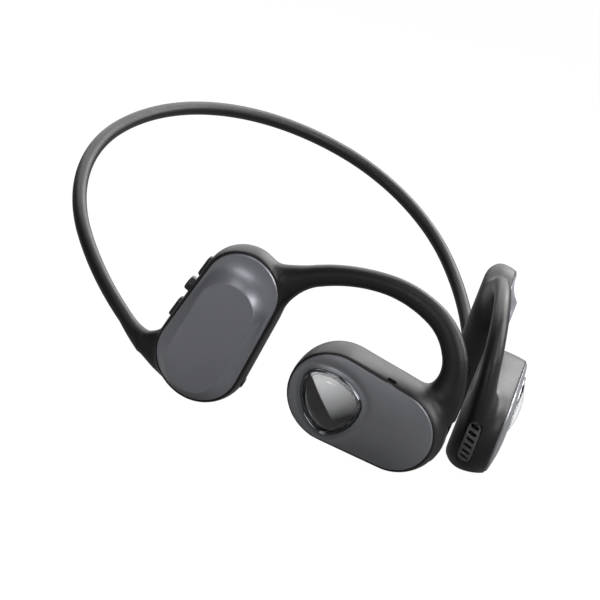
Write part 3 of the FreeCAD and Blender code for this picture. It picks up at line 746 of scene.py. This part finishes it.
def control_cover(name):
    """Cover with a raised flat and a slope round it."""
    middle = (island_low + island_high) / 2
    half = (island_high - island_low) / 2
    along, _ = plane_axes(math.radians(control_lean))
    rings = [
        control_ring(-cover_skirt_wall[0], -cover_skirt),
        control_ring(0, -cover_skirt),
        control_ring(0, -cover_chamfer),
        control_ring(-cover_chamfer, 0),
    ]
    steps = 22
    for step in range(1, steps + 1):
        mix = step / steps
        low_r = (control_low_r - cover_chamfer) * (1 - mix) + island_r * mix
        high_r = (control_high_r - cover_chamfer) * (1 - mix) + island_r * mix
        span = control_half_span * (1 - mix) + half * mix
        ring = tapered_ring(along * middle * mix, control_lean, span, low_r, high_r, 0)
        for point in ring:
            point.z = scoop(mix, point.dot(along))
        rings.append(ring)
    edge_r = island_r - island_edge
    level = island_rise + island_edge / 2
    rings.append(tapered_ring(along * middle, control_lean, half, edge_r, edge_r, level))
    return to_object(skin(rings), name)


def outline_inset(point):
    """Distance of a point inside the pod's outline."""
    lean = Matrix.Rotation(math.radians(-pod_lean), 4, "Z")
    local = lean @ (Vector((point.x, point.y, 0)) - Vector((pod_forward, pod_up, 0)))
    x, y = local.x + pod_half_span, abs(local.y)
    span = 2 * pod_half_span
    slope = (pod_rear_r - pod_front_r) / span
    rise = math.sqrt(1 - slope * slope)
    along = x * rise - y * slope
    if along < 0:
        return pod_rear_r - math.hypot(x, y)
    if along > span * rise:
        return pod_front_r - math.hypot(x - span, y)
    return pod_rear_r - (x * slope + y * rise)


def lens_middle():
    return Vector((lens_forward, lens_up, 0))


def lens_arcs():
    """Centre, radius, first and last angle of the arcs round the lens: a bowed side and a corner in turn."""
    corners = []
    for angle, reach in lens_corners:
        along, _ = plane_axes(math.radians(angle))
        corners.append(lens_middle() + along * reach)
    sides = []
    for index, first in enumerate(corners):
        second = corners[(index + 1) % 3]
        chord = second - first
        outward = Vector((chord.y, -chord.x, 0)).normalized()
        bow = (first + second) / 2 - outward * lens_side_bow
        sides.append((bow, first - bow, second - bow))
    arcs = []
    for index, (bow, leave, arrive) in enumerate(sides):
        start = math.atan2(leave.y, leave.x)
        end = start + leave.angle(arrive)
        arcs.append((bow, leave.length + lens_corner_r, start, end))
        following = sides[(index + 1) % 3][1]
        arcs.append((corners[(index + 1) % 3], lens_corner_r, end, end + arrive.angle(following)))
    return arcs


def lens_ring(grow, level, steps=30):
    """Rounded triangle of the lens, grown or shrunk all round."""
    points = []
    for centre, radius, start, end in lens_arcs():
        for step in range(steps):
            a = start + (end - start) * step / steps
            reach = radius + grow
            points.append(Vector((centre.x + reach * math.cos(a), centre.y + reach * math.sin(a), level)))
    return points


def outline_point(ray):
    """Point where a ray from the lens's middle crosses the pod's outline."""
    low, high = 0.0, 60.0
    for _ in range(40):
        middle = (low + high) / 2
        if outline_inset(lens_middle() + ray * middle) > 0:
            low = middle
        else:
            high = middle
    return lens_middle() + ray * middle


def pod_cover_height(point, from_lens):
    """Pillow of the pod's cover, with a soft groove round the lens."""
    fill = min(max(outline_inset(point), 0) / crown_reach, 1)
    groove = lens_groove * math.exp(-((from_lens - lens_groove_width) / lens_groove_width) ** 2)
    return crown_rise * (1 - (1 - fill) ** 2) - groove


def pod_cover(name):
    """Pillow-shaped cover from its skirt up and in to the lens opening."""
    inner = lens_ring(lens_gap, 0)
    rays = [(point - lens_middle()).normalized() for point in inner]
    outer = [outline_point(ray) for ray in rays]
    rings = []
    for inset, level in ((cover_skirt_wall[1], -cover_skirt), (0, -cover_skirt), (0, -cover_chamfer)):
        lift = Vector((0, 0, pod_outset + level))
        rings.append([point - ray * inset + lift for point, ray in zip(outer, rays)])
    steps = 28
    for step in range(steps + 1):
        mix = (step / steps) ** 0.8
        ring = []
        for first, last, ray in zip(outer, inner, rays):
            point = (first - ray * cover_chamfer).lerp(last, mix)
            point.z = pod_outset + pod_cover_height(point, (point - last).length)
            ring.append(point)
        rings.append(ring)
    rings.append([Vector((point.x, point.y, pod_outset - cover_skirt)) for point in inner])
    return to_object(hoop(rings), name)


# ================ lens group
def dome_height(point):
    reach = (Vector((point.x, point.y, 0)) - lens_middle()).length
    return lens_rise - lens_dome_r + math.sqrt(lens_dome_r ** 2 - reach ** 2)


def drawn_in(ring, shares, level_at):
    """Rings that close a form towards the lens's middle, each point lifted by its own rule."""
    rings = []
    for share in shares:
        inner = [lens_middle().lerp(Vector((point.x, point.y, 0)), share) for point in ring]
        for point in inner:
            point.z = pod_outset + level_at(point, share)
        rings.append(inner)
    return rings


def lens(name):
    """Clear domed cap with a rounded shoulder."""
    inset = -bezel_width - lens_gap
    rings = [lens_ring(inset, pod_outset - lens_seat)]
    crest = lens_ring(inset - lens_shoulder, 0)
    steps = 8
    for step in range(steps + 1):
        a = math.radians(90 * step / steps)
        ring = lens_ring(inset - lens_shoulder * (1 - math.cos(a)), 0)
        for point, top in zip(ring, crest):
            point.z = pod_outset + dome_height(top) - lens_shoulder * (1 - math.sin(a))
        rings.append(ring)
    shares = (0.92, 0.8, 0.65, 0.5, 0.35, 0.2, 0.06)
    rings += drawn_in(crest, shares, lambda point, share: dome_height(point))
    obj = to_object(skin(rings, cap_first=False), name)
    thicken(obj, lens_wall)
    return obj


def bezel(name):
    """Turned ring with two fine ridges."""
    top = pod_outset + bezel_top
    foot = pod_outset - bezel_foot
    profile = ((0, foot), (0, top - 0.3), (-0.06, top - 0.12), (-0.16, top - 0.02), (-0.26, top - 0.08),
               (-0.36, top - 0.24), (-0.46, top - 0.08), (-0.58, top), (-0.7, top - 0.06),
               (-bezel_width, top - 0.22), (-bezel_width, foot))
    return to_object(hoop([lens_ring(grow, level) for grow, level in profile]), name)


def mark_places(obj):
    """UV map that holds each point's place on the lens, with the lens's reach as one."""
    layer = obj.data.uv_layers.new(name="place")
    for loop in obj.data.loops:
        point = obj.data.vertices[loop.vertex_index].co
        place = (point - lens_middle()) / lens_reach
        layer.data[loop.index].uv = (place.x, place.y)
    return obj


def reflector(name):
    """Shallow dish under the lens."""
    inset = -bezel_width - lens_gap
    back = pod_outset - dish_level - dish_thickness
    rings = [lens_ring(-4, back), lens_ring(inset, back)]
    shares = (1.0, 0.85, 0.7, 0.55, 0.4, 0.25, 0.1, 0.02)
    rings += drawn_in(lens_ring(inset, 0), shares, lambda point, share: dish_hollow * share ** 2 - dish_level)
    return mark_places(to_object(skin(rings), name))


# ================ grille, buttons and flap
def wrap_on_nose(obj, lift):
    """Bend a flat plate, X up along the grille and Y across it, on to the pod's nose."""
    lean = math.radians(pod_lean)
    centre_x = pod_forward + pod_half_span * math.cos(lean)
    centre_y = pod_up + pod_half_span * math.sin(lean)
    for vertex in obj.data.vertices:
        drop = grille_level + vertex.co.y
        radius = pod_front_r + pod_side(drop) + lift + vertex.co.z
        angle = lean + (vertex.co.x + grille_up) / (pod_front_r + pod_bulge)
        x = centre_x + radius * math.cos(angle)
        y = centre_y + radius * math.sin(angle)
        vertex.co = Vector((x, y, pod_outset + drop))


def slice_along(obj, length, count):
    """Cut a plate across its length so that it can bend."""
    bm = bmesh.new()
    bm.from_mesh(obj.data)
    for step in range(1, count):
        place = -length / 2 + length * step / count
        geometry = bm.verts[:] + bm.edges[:] + bm.faces[:]
        bmesh.ops.bisect_plane(bm, geom=geometry, plane_co=(place, 0, 0), plane_no=(1, 0, 0))
    bm.to_mesh(obj.data)
    bm.free()


def grille(name):
    """Insert with six rounded slots, bent on to the nose."""
    plate = obround_block(grille_length, grille_width, -grille_thickness, 0, name)
    first = -slot_pitch * (grille_slots - 1) / 2
    slots = []
    for index in range(grille_slots):
        slot = obround_block(slot_length, slot_width, -3, 3, "cut")
        skew = Matrix.Rotation(math.radians(90 + slot_skew), 4, "Z")
        slots.append(placed(slot, Matrix.Translation((first + index * slot_pitch, 0, 0)) @ skew))
    combine(plate, slots, "DIFFERENCE")
    round_edges(plate, slot_rounding, 2)
    slice_along(plate, grille_length, 24)
    wrap_on_nose(plate, grille_proud)
    return plate


def grille_mesh(name):
    """Thin cloth behind the slots."""
    bm = bmesh.new()
    bmesh.ops.create_grid(bm, x_segments=24, y_segments=8, size=0.5)
    size = (grille_length - cloth_margin[0], grille_width - cloth_margin[1], 1)
    bmesh.ops.scale(bm, verts=bm.verts, vec=size)
    cloth = to_object(bm, name)
    wrap_on_nose(cloth, -grille_thickness - cloth_gap)
    thicken(cloth, cloth_thickness)
    return cloth


def button(name):
    """Soft cap with a well-rounded edge."""
    station, length, width, proud = buttons[name]
    cap = obround_block(length, width, -button_root, proud, name + "_cap")
    round_edges(cap, button_rounding, 5)
    return placed(cap, side_frame(station, False, button_level))


def flap(name):
    """Soft flap that follows the housing's side, with its finger lip."""
    length, width, depth = flap_size
    body = obround_block(length, width, -depth, 3, name)
    placed(body, side_frame(flap_station, True, flap_level))
    combine(body, [to_object(control_form(), "form")], "INTERSECT")
    pad_length, pad_width, proud = flap_pad
    pad = obround_block(pad_width, pad_length, -flap_pad_root, 3, "pad")
    placed(pad, side_frame(flap_pad_station, True, flap_level) @ Matrix.Rotation(math.pi / 2, 4, "Z"))
    combine(pad, [to_object(control_form(proud), "form")], "INTERSECT")
    round_edges(pad, flap_pad_rounding, 3)
    combine(body, [pad], "UNION")
    return body


# ================ neckband
def sleeve_axes(ahead, across, through, square):
    """Directions across and through the sleeve: the seam's own at first, square to its way at last."""
    side = (across - ahead * across.dot(ahead) * square).normalized()
    deep = ahead.cross(side)
    if deep.dot(through) < 0:
        deep = -deep
    return side, through.lerp(deep, square).normalized()


def sleeve_ring(point, side, deep, from_seam):
    """Section of the sleeve, which widens towards the seam, more on its upper side."""
    growth = (seam_height - 2 * band_r) / 2
    above = growth * max(1 - from_seam / band_flare[0], 0) ** 2
    below = growth * max(1 - from_seam / band_flare[1], 0)
    edge = max(seam_edge - from_seam, 0)
    height = 2 * (band_r - edge) + above + below
    thickness = 2 * (band_r - edge) + (seam_thickness - 2 * band_r) * below / growth
    return oval_ring(point + side * (above - below) / 2, side, deep, height, thickness, 36)


def mirror_welded(bm):
    """Add a half's mirror image and weld the two where they meet."""
    half = bpy.data.meshes.new("half")
    bm.to_mesh(half)
    half.transform(MIRROR)
    bm.from_mesh(half)
    bpy.data.meshes.remove(half)
    bmesh.ops.remove_doubles(bm, verts=bm.verts, dist=0.01)
    bmesh.ops.recalc_face_normals(bm, faces=bm.faces)
    return bm


def band_sleeve(name):
    """Sleeve from seam to seam."""
    path = band_path()
    plane = band_plane()
    whole = path.length()
    turn = (plane.inverted() @ HEADSET.inverted() @ UNIT).to_3x3()
    _, across, through = ((turn @ axis).normalized() for axis in seam_axes())
    rings = []
    steps = 170
    for from_seam in [0, seam_edge] + [whole * step / steps for step in range(1, steps + 1)]:
        point, heading = path.at(whole - from_seam)
        ahead, _ = plane_axes(heading)
        side, deep = sleeve_axes(ahead, across, through, min(from_seam / band_turn, 1))
        rings.append([plane @ vertex for vertex in sleeve_ring(point, side, deep, from_seam)])
    return to_object(mirror_welded(skin(rings, cap_last=False)), name)


# ================ materials
def linear(hex_colour):
    """sRGB hex to a linear colour with alpha."""
    colour = []
    for start in (1, 3, 5):
        value = int(hex_colour[start:start + 2], 16) / 255
        colour.append(value / 12.92 if value <= 0.04045 else ((value + 0.055) / 1.055) ** 2.4)
    return (*colour, 1.0)


def add_node(tree, kind, inputs, **settings):
    """Add a node; each input is a value or another node's output socket."""
    node = tree.nodes.new(kind)
    for name, value in settings.items():
        setattr(node, name, value)
    for name, value in inputs.items():
        if isinstance(value, bpy.types.NodeSocket):
            tree.links.new(value, node.inputs[name])
        else:
            node.inputs[name].default_value = value
    return node


def new_material(name):
    material = bpy.data.materials.new(name)
    material.use_nodes = True
    material.node_tree.nodes.clear()
    return material, material.node_tree


def finish_material(tree, shader):
    add_node(tree, "ShaderNodeOutputMaterial", {"Surface": shader.outputs[0]})


def object_place(tree, stretch=(1, 1, 1)):
    """Object coordinates in metres, drawn out along an axis where the surface was worked along it."""
    place = add_node(tree, "ShaderNodeTexCoord", {}).outputs["Object"]
    return add_node(tree, "ShaderNodeMapping", {"Vector": place, "Scale": stretch}).outputs[0]


def grained(tree, place, size_mm):
    """Noise with features of a real size."""
    scale = 1 / (size_mm * MM)
    return add_node(tree, "ShaderNodeTexNoise", {"Vector": place, "Scale": scale}).outputs["Fac"]


def between_colours(tree, share, low, high, low_share=0.3, high_share=0.7):
    """Colour that runs from one hex value to another as a share rises."""
    ramp = add_node(tree, "ShaderNodeValToRGB", {"Fac": share})
    ramp.color_ramp.elements[0].position = low_share
    ramp.color_ramp.elements[0].color = linear(low)
    ramp.color_ramp.elements[1].position = high_share
    ramp.color_ramp.elements[1].color = linear(high)
    return ramp.outputs["Color"]


def ranged(tree, value, start, end, low=0.0, high=1.0):
    """Number that runs from low to high as a value goes from its start to its end."""
    limits = {"Value": value, "From Min": start, "From Max": end, "To Min": low, "To Max": high}
    return add_node(tree, "ShaderNodeMapRange", limits).outputs["Result"]


def reckoned(tree, operation, first, second):
    return add_node(tree, "ShaderNodeMath", {0: first, 1: second}, operation=operation).outputs[0]


def relief(tree, height, depth_mm):
    return add_node(tree, "ShaderNodeBump", {"Height": height, "Distance": depth_mm * MM}).outputs["Normal"]


def add_principled(tree, inputs):
    finish_material(tree, add_node(tree, "ShaderNodeBsdfPrincipled", inputs))


def surface(name, low, high, roughness, grain_mm, depth_mm, drift_mm=8.0, spread=0.03, stretch=(1, 1, 1),
            **constants):
    """Worked surface: fine relief of a real grain size under a slow drift in tone and gloss."""
    material, tree = new_material(name)
    place = object_place(tree, stretch)
    drift = grained(tree, place, drift_mm)
    inputs = {
        "Base Color": between_colours(tree, drift, low, high),
        "Roughness": ranged(tree, drift, 0.3, 0.7, roughness - spread, roughness + spread),
        "Normal": relief(tree, grained(tree, place, grain_mm), depth_mm),
    }
    inputs.update({key.replace("_", " "): value for key, value in constants.items()})
    add_principled(tree, inputs)
    return material


# Overmoulded silicone with a soft-touch coat: near black, and grey where light grazes it.
SILICONE = surface("soft_touch_silicone", "#0b0b0c", "#0f0f10", 0.44, 0.35, 0.0003, Specular_IOR_Level=0.3)
# The same rubber as the skin, polished a little by fingers.
KEY_RUBBER = surface("moulded_key_rubber", "#0d0d0e", "#121213", 0.4, 0.3, 0.0006, Specular_IOR_Level=0.45)
# Polycarbonate sprayed with a fine metallic slate lacquer: an even satin with a soft bright sweep.
lacquered = {"drift_mm": 14.0, "spread": 0.01, "Metallic": 0.58, "Coat_Weight": 0.12, "Coat_Roughness": 0.3}
LACQUER = surface("satin_slate_lacquer", "#77787e", "#7c7d83", 0.36, 0.15, 0.0003, **lacquered)
# The same lacquer, coloured darker on the speaker pods: painted shade.
SHADED_LACQUER = surface("slate_lacquer_painted_shade", "#68696d", "#6d6e72", 0.36, 0.15, 0.0003, **lacquered)
# Glass-filled nylon, moulded with a fine matt grain.
GRILLE_NYLON = surface("moulded_nylon", "#38383a", "#3e3e40", 0.45, 0.2, 0.003)
# Turned aluminium with a dark bright-dipped finish: two thin bright lines.
BEZEL_METAL = surface("bright_dipped_aluminium", "#6d6f74", "#787a7f", 0.14, 0.12, 0.0002, Metallic=1.0)
# Hard-drawn stainless wire: fine lines along its length.
SPRING_STEEL = surface("drawn_spring_steel", "#8f9092", "#a5a6a8", 0.3, 0.1, 0.004, stretch=(1, 0.15, 1),
                       Metallic=1.0)
# Extruded flat cable with a matt jacket.
CABLE_JACKET = surface("extruded_vinyl", "#1a1a1b", "#242425", 0.6, 0.4, 0.006)
# Aluminium laminate of a pouch cell: dull, slightly creased foil.
CELL_FOIL = surface("pouch_foil", "#9fa0a2", "#b4b5b6", 0.4, 1.2, 0.03, Metallic=0.9)
# Glass-fibre board under solder mask.
CIRCUIT_BOARD = surface("solder_mask", "#0d3a24", "#124a2e", 0.35, 0.5, 0.01, drift_mm=2.0)
# Black moulded switch cases.
SWITCH_CASE = surface("moulded_switch_case", "#161617", "#1f1f20", 0.45, 0.3, 0.005)
# Stamped and nickel-plated steel.
NICKEL = surface("nickel_plated_steel", "#9c9a94", "#b0aea8", 0.24, 0.25, 0.002, Metallic=1.0)
# Stamped and zinc-plated steel of the driver's basket.
STAMPED_STEEL = surface("zinc_plated_steel", "#6d7073", "#85888b", 0.38, 0.6, 0.008, Metallic=1.0)
# Pressed polymer film of the driver's cone: pale, with a silky gloss.
CONE_FILM = surface("pressed_film", "#a9a8a0", "#bdbcb4", 0.4, 0.8, 0.01)


def woven_cloth():
    """Acoustic cloth, plain weave: real threads are 0.08 mm apart and are drawn wider so that they show."""
    material, tree = new_material("acoustic_cloth")
    place = object_place(tree)
    drawn_apart = 0.592 * MM
    scale = 2 * math.pi / (20 * drawn_apart)   # the node's wave has twenty radians in a unit
    threads = []
    for axis in ("X", "Z"):
        wave = add_node(tree, "ShaderNodeTexWave", {"Vector": place, "Scale": scale}, bands_direction=axis)
        threads.append(wave.outputs["Fac"])
    woven = reckoned(tree, "MULTIPLY", *threads)
    add_principled(tree, {
        "Base Color": between_colours(tree, woven, "#050505", "#151515", 0.1, 0.9),
        "Normal": relief(tree, woven, 0.05),
        "Roughness": 0.9,
    })
    return material


def clear_polycarbonate():
    """Moulded clear dome: polished, with a barely seen flow in the surface."""
    material, tree = new_material("clear_polycarbonate")
    place = object_place(tree)
    add_principled(tree, {
        "Base Color": between_colours(tree, grained(tree, place, 6.0), "#f4f6f8", "#ffffff"),
        "Normal": relief(tree, grained(tree, place, 3.0), 0.002),
        "Transmission Weight": 1.0,
        "Roughness": 0.02,
        "IOR": 1.3,
        "Specular IOR Level": 0.2,
    })
    return material


def dish_with_painted_reflection():
    """Dish under the lens, black with a painted reflection: pale on its upper front side, which ends at a
    curve.
    """
    material, tree = new_material("dish_painted_reflection")
    place = add_node(tree, "ShaderNodeUVMap", {}, uv_map="place").outputs["UV"]
    parts = add_node(tree, "ShaderNodeSeparateXYZ", {"Vector": place})
    curve_centre = (4.05, 4.13, 0.0)   # in reaches of the lens, as all that follows
    curve_reach = (5.98, 6.02)
    fade_slope = 0.9
    fade = (-0.75, 0.9)
    from_centre = add_node(tree, "ShaderNodeVectorMath", {0: place, 1: curve_centre}, operation="DISTANCE")
    inside = ranged(tree, from_centre.outputs["Value"], *curve_reach, 1.0, 0.0)
    fall = reckoned(tree, "MULTIPLY", parts.outputs["X"], fade_slope)
    slope = reckoned(tree, "SUBTRACT", parts.outputs["Y"], fall)
    # painted reflection: a pale sweep that fades along a slant and stops at a curve
    painted_reflection_mask = reckoned(tree, "MULTIPLY", inside, ranged(tree, slope, *fade))
    add_principled(tree, {
        "Base Color": between_colours(tree, painted_reflection_mask, "#050505", "#d8d8d8", 0.0, 1.0),
        "Metallic": 0.2,
        "Roughness": 0.35,
        "Specular IOR Level": 0.0,
        "Normal": relief(tree, grained(tree, object_place(tree), 0.3), 0.002),
    })
    return material


CLOTH = woven_cloth()
CLEAR = clear_polycarbonate()
# the dish's colour carries a painted reflection of the lens
DISH_PAINTED_REFLECTION = dish_with_painted_reflection()


# ================ dressing
def paint(obj, material):
    obj.data.materials.clear()
    obj.data.materials.append(material)


def dress(obj, matrix, nodes, slot, material, body="headset", sharp=35):
    """Finish a piece: put it in place, paint it, and let it stand for its CAD nodes."""
    settle(obj, matrix, sharp)
    paint(obj, material)
    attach(obj, body)
    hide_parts(*nodes)


def dress_unit(side, matrix):
    """All pieces that both ear units have."""
    pieces = (
        (control_cover, "control_plate", "outer_cover", "control_cover", LACQUER, 25),
        (pod_cover, "pod_plate", "pod_cover", "pod_cover", SHADED_LACQUER, 30),
        (lens, "dome", "lens", "clear_lens", CLEAR, 35),
        (bezel, "dome_ring", "lens_bezel", "bezel_metal", BEZEL_METAL, 50),
        (reflector, "dish", "reflector", "reflector_metal", DISH_PAINTED_REFLECTION, 35),
        (grille, "nose_grille", "grille", "grille_plastic", GRILLE_NYLON, 35),
        (grille_mesh, "nose_cloth", "grille_mesh", "mesh_cloth", CLOTH, 35),
    )
    shells = [side + "_control_housing", side + "_ear_hook", side + "_pod_housing"]
    dress(unit_skin(side + "_skin", side == "right"), matrix, shells, "soft_skin", SILICONE)
    for make, name, node, slot, material, sharp in pieces:
        dress(make(side + "_" + name), matrix, [side + "_" + node], slot, material, sharp=sharp)


def dress_controls():
    """Buttons and port flap of the right unit, and the plug that fills the same recess on the left."""
    for name in buttons:
        dress(button(name), UNIT, [name], "button_rubber", KEY_RUBBER, body=name)
    dress(flap("port_lid"), UNIT, ["port_flap"], "soft_skin", SILICONE, body="port_flap")
    dress(flap("left_plug"), MIRROR @ UNIT, ["left_blank_plug"], "soft_skin", SILICONE)


def paint_inner_nodes():
    """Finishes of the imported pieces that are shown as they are."""
    finishes = {
        "neckband_wire": SPRING_STEEL,
        "hook_wire": SPRING_STEEL,
        "neckband_cable": CABLE_JACKET,
        "hook_cable": CABLE_JACKET,
        "battery_cell": CELL_FOIL,
        "main_board": CIRCUIT_BOARD,
        "cell_board": CIRCUIT_BOARD,
        "button_switches": SWITCH_CASE,
        "charging_connector": NICKEL,
        "microphone": NICKEL,
        "driver_magnet": NICKEL,
        "driver_basket": STAMPED_STEEL,
        "driver_diaphragm": CONE_FILM,
    }
    for node, obj in frame["nodes"].items():
        piece = node.removeprefix("right_").removeprefix("left_")
        if piece in finishes:
            paint(obj, finishes[piece])


# ================ stage, lamps and camera
camera_turn = (0.915, 0.409, 0.348)   # azimuth, height and roll
camera_distance = 546.0
camera_aim = (-16.03, 8.66)           # to the right and up of the middle between the units
camera_lens = 124.5
table_tone = (0.15, 0.17)
table_glow = 1.1
table_glow_share = 0.9
table_in_gloss = 0.14                 # how much of the white a reflection shows
sky_in_gloss = 0.15
sky_light = 0.05
lamps = (
    # name, direction in the camera's right, up and back, distance, size, power
    ("softbox_above", (0.1, 1.0, -0.2), 0.9, (1.0, 0.6), 9.0),
    ("softbox_right", (0.93, 0.4, 0.05), 0.8, (0.4, 0.6), 9.0),
    ("softbox_upper_right", (0.55, 0.5, 0.67), 0.8, (0.3, 0.3), 1.2),
    ("softbox_front_right", (0.6, 0.06, 0.8), 0.8, (0.34, 0.34), 3.0),
    ("softbox_front_left", (-0.39, 0.04, 0.92), 0.8, (0.26, 0.16), 1.0),
    ("softbox_front_top", (-0.07, 0.61, 0.79), 0.8, (0.3, 0.3), 0.8),
    ("softbox_behind", (0.0, 0.7, -0.7), 0.8, (1.0, 0.5), 4.0),
    ("softbox_behind_right", (0.6, 0.65, -0.4), 0.8, (0.3, 0.5), 5.0),
)


def camera_axes():
    """Camera's direction, right and up, level with the ear units."""
    azimuth, height, roll = camera_turn
    toward, right = plane_axes(azimuth)
    back = toward * math.cos(height) + Vector((0, 0, math.sin(height)))
    up = back.cross(right)
    return back, right * math.cos(roll) + up * math.sin(roll), up * math.cos(roll) - right * math.sin(roll)


def add_camera():
    back, right, up = camera_axes()
    eye = HEADSET @ (back * camera_distance)
    aim = HEADSET @ (right * camera_aim[0] + up * camera_aim[1])
    turn = HEADSET.to_3x3() * (1 / MM)
    away = (eye - aim).normalized()
    side = (turn @ up).cross(away).normalized()
    above = away.cross(side)
    camera = bpy.data.objects.new("camera", bpy.data.cameras.new("camera"))
    camera.matrix_world = Matrix.Translation(eye) @ Matrix((side, above, away)).transposed().to_4x4()
    camera.data.lens = camera_lens
    camera.data.sensor_width = 36
    camera.data.clip_start = 0.01
    bpy.context.scene.collection.objects.link(camera)
    bpy.context.scene.camera = camera


def white_for(tree, glossy):
    """One for rays that show the background, a part of it for reflections, none for light on the object."""
    ray = add_node(tree, "ShaderNodeLightPath", {}).outputs
    seen = reckoned(tree, "MAXIMUM", ray["Is Camera Ray"], ray["Is Transmission Ray"])
    return reckoned(tree, "MAXIMUM", seen, reckoned(tree, "MULTIPLY", ray["Is Glossy Ray"], glossy))


def add_stage():
    """White table that keeps the object's shadow."""
    bm = bmesh.new()
    bmesh.ops.create_grid(bm, x_segments=1, y_segments=1, size=3)
    floor = to_object(bm, "floor")
    material, tree = new_material("pale_table")
    noise = grained(tree, object_place(tree), 2.5)
    diffuse = add_node(tree, "ShaderNodeBsdfDiffuse", {"Color": ranged(tree, noise, 0.0, 1.0, *table_tone)})
    glow = add_node(tree, "ShaderNodeEmission", {"Strength": table_glow})
    share = reckoned(tree, "MULTIPLY", white_for(tree, table_in_gloss), table_glow_share)
    mixed = add_node(tree, "ShaderNodeMixShader", {0: share, 1: diffuse.outputs[0], 2: glow.outputs[0]})
    finish_material(tree, mixed)
    floor.data.materials.append(material)


def add_world():
    """White surroundings that light the object only a little."""
    world = bpy.data.worlds.new("studio")
    world.use_nodes = True
    bpy.context.scene.world = world
    tree = world.node_tree
    tree.nodes.clear()
    level = ranged(tree, white_for(tree, sky_in_gloss), 0.0, 1.0, sky_light, 1.0)
    sky = add_node(tree, "ShaderNodeBackground", {"Strength": level})
    add_node(tree, "ShaderNodeOutputWorld", {"Surface": sky.outputs[0]})


def add_lamp(name, direction, distance, size, power):
    """Softbox that faces the headset's middle."""
    back, right, up = camera_axes()
    middle = (cad_box[0] + cad_box[1]) / 2
    turn = HEADSET.to_3x3() * (1 / MM)
    toward = (turn @ (right * direction[0] + up * direction[1] + back * direction[2])).normalized()
    lamp = bpy.data.lights.new(name, "AREA")
    lamp.shape = "RECTANGLE"
    lamp.size, lamp.size_y = size
    lamp.energy = power
    obj = bpy.data.objects.new(name, lamp)
    facing = toward.to_track_quat("Z", "Y").to_matrix().to_4x4()
    obj.matrix_world = Matrix.Translation(middle + toward * distance) @ facing
    bpy.context.scene.collection.objects.link(obj)


add_camera()
add_stage()
add_world()
for lamp_row in lamps:
    add_lamp(*lamp_row)
bpy.context.scene.view_settings.view_transform = "Standard"

dress_unit("right", UNIT)
dress_unit("left", MIRROR @ UNIT)
dress_controls()
dress(band_sleeve("band_sleeve"), HEADSET, ["neckband_sleeve"], "soft_skin", SILICONE)
paint_inner_nodes()
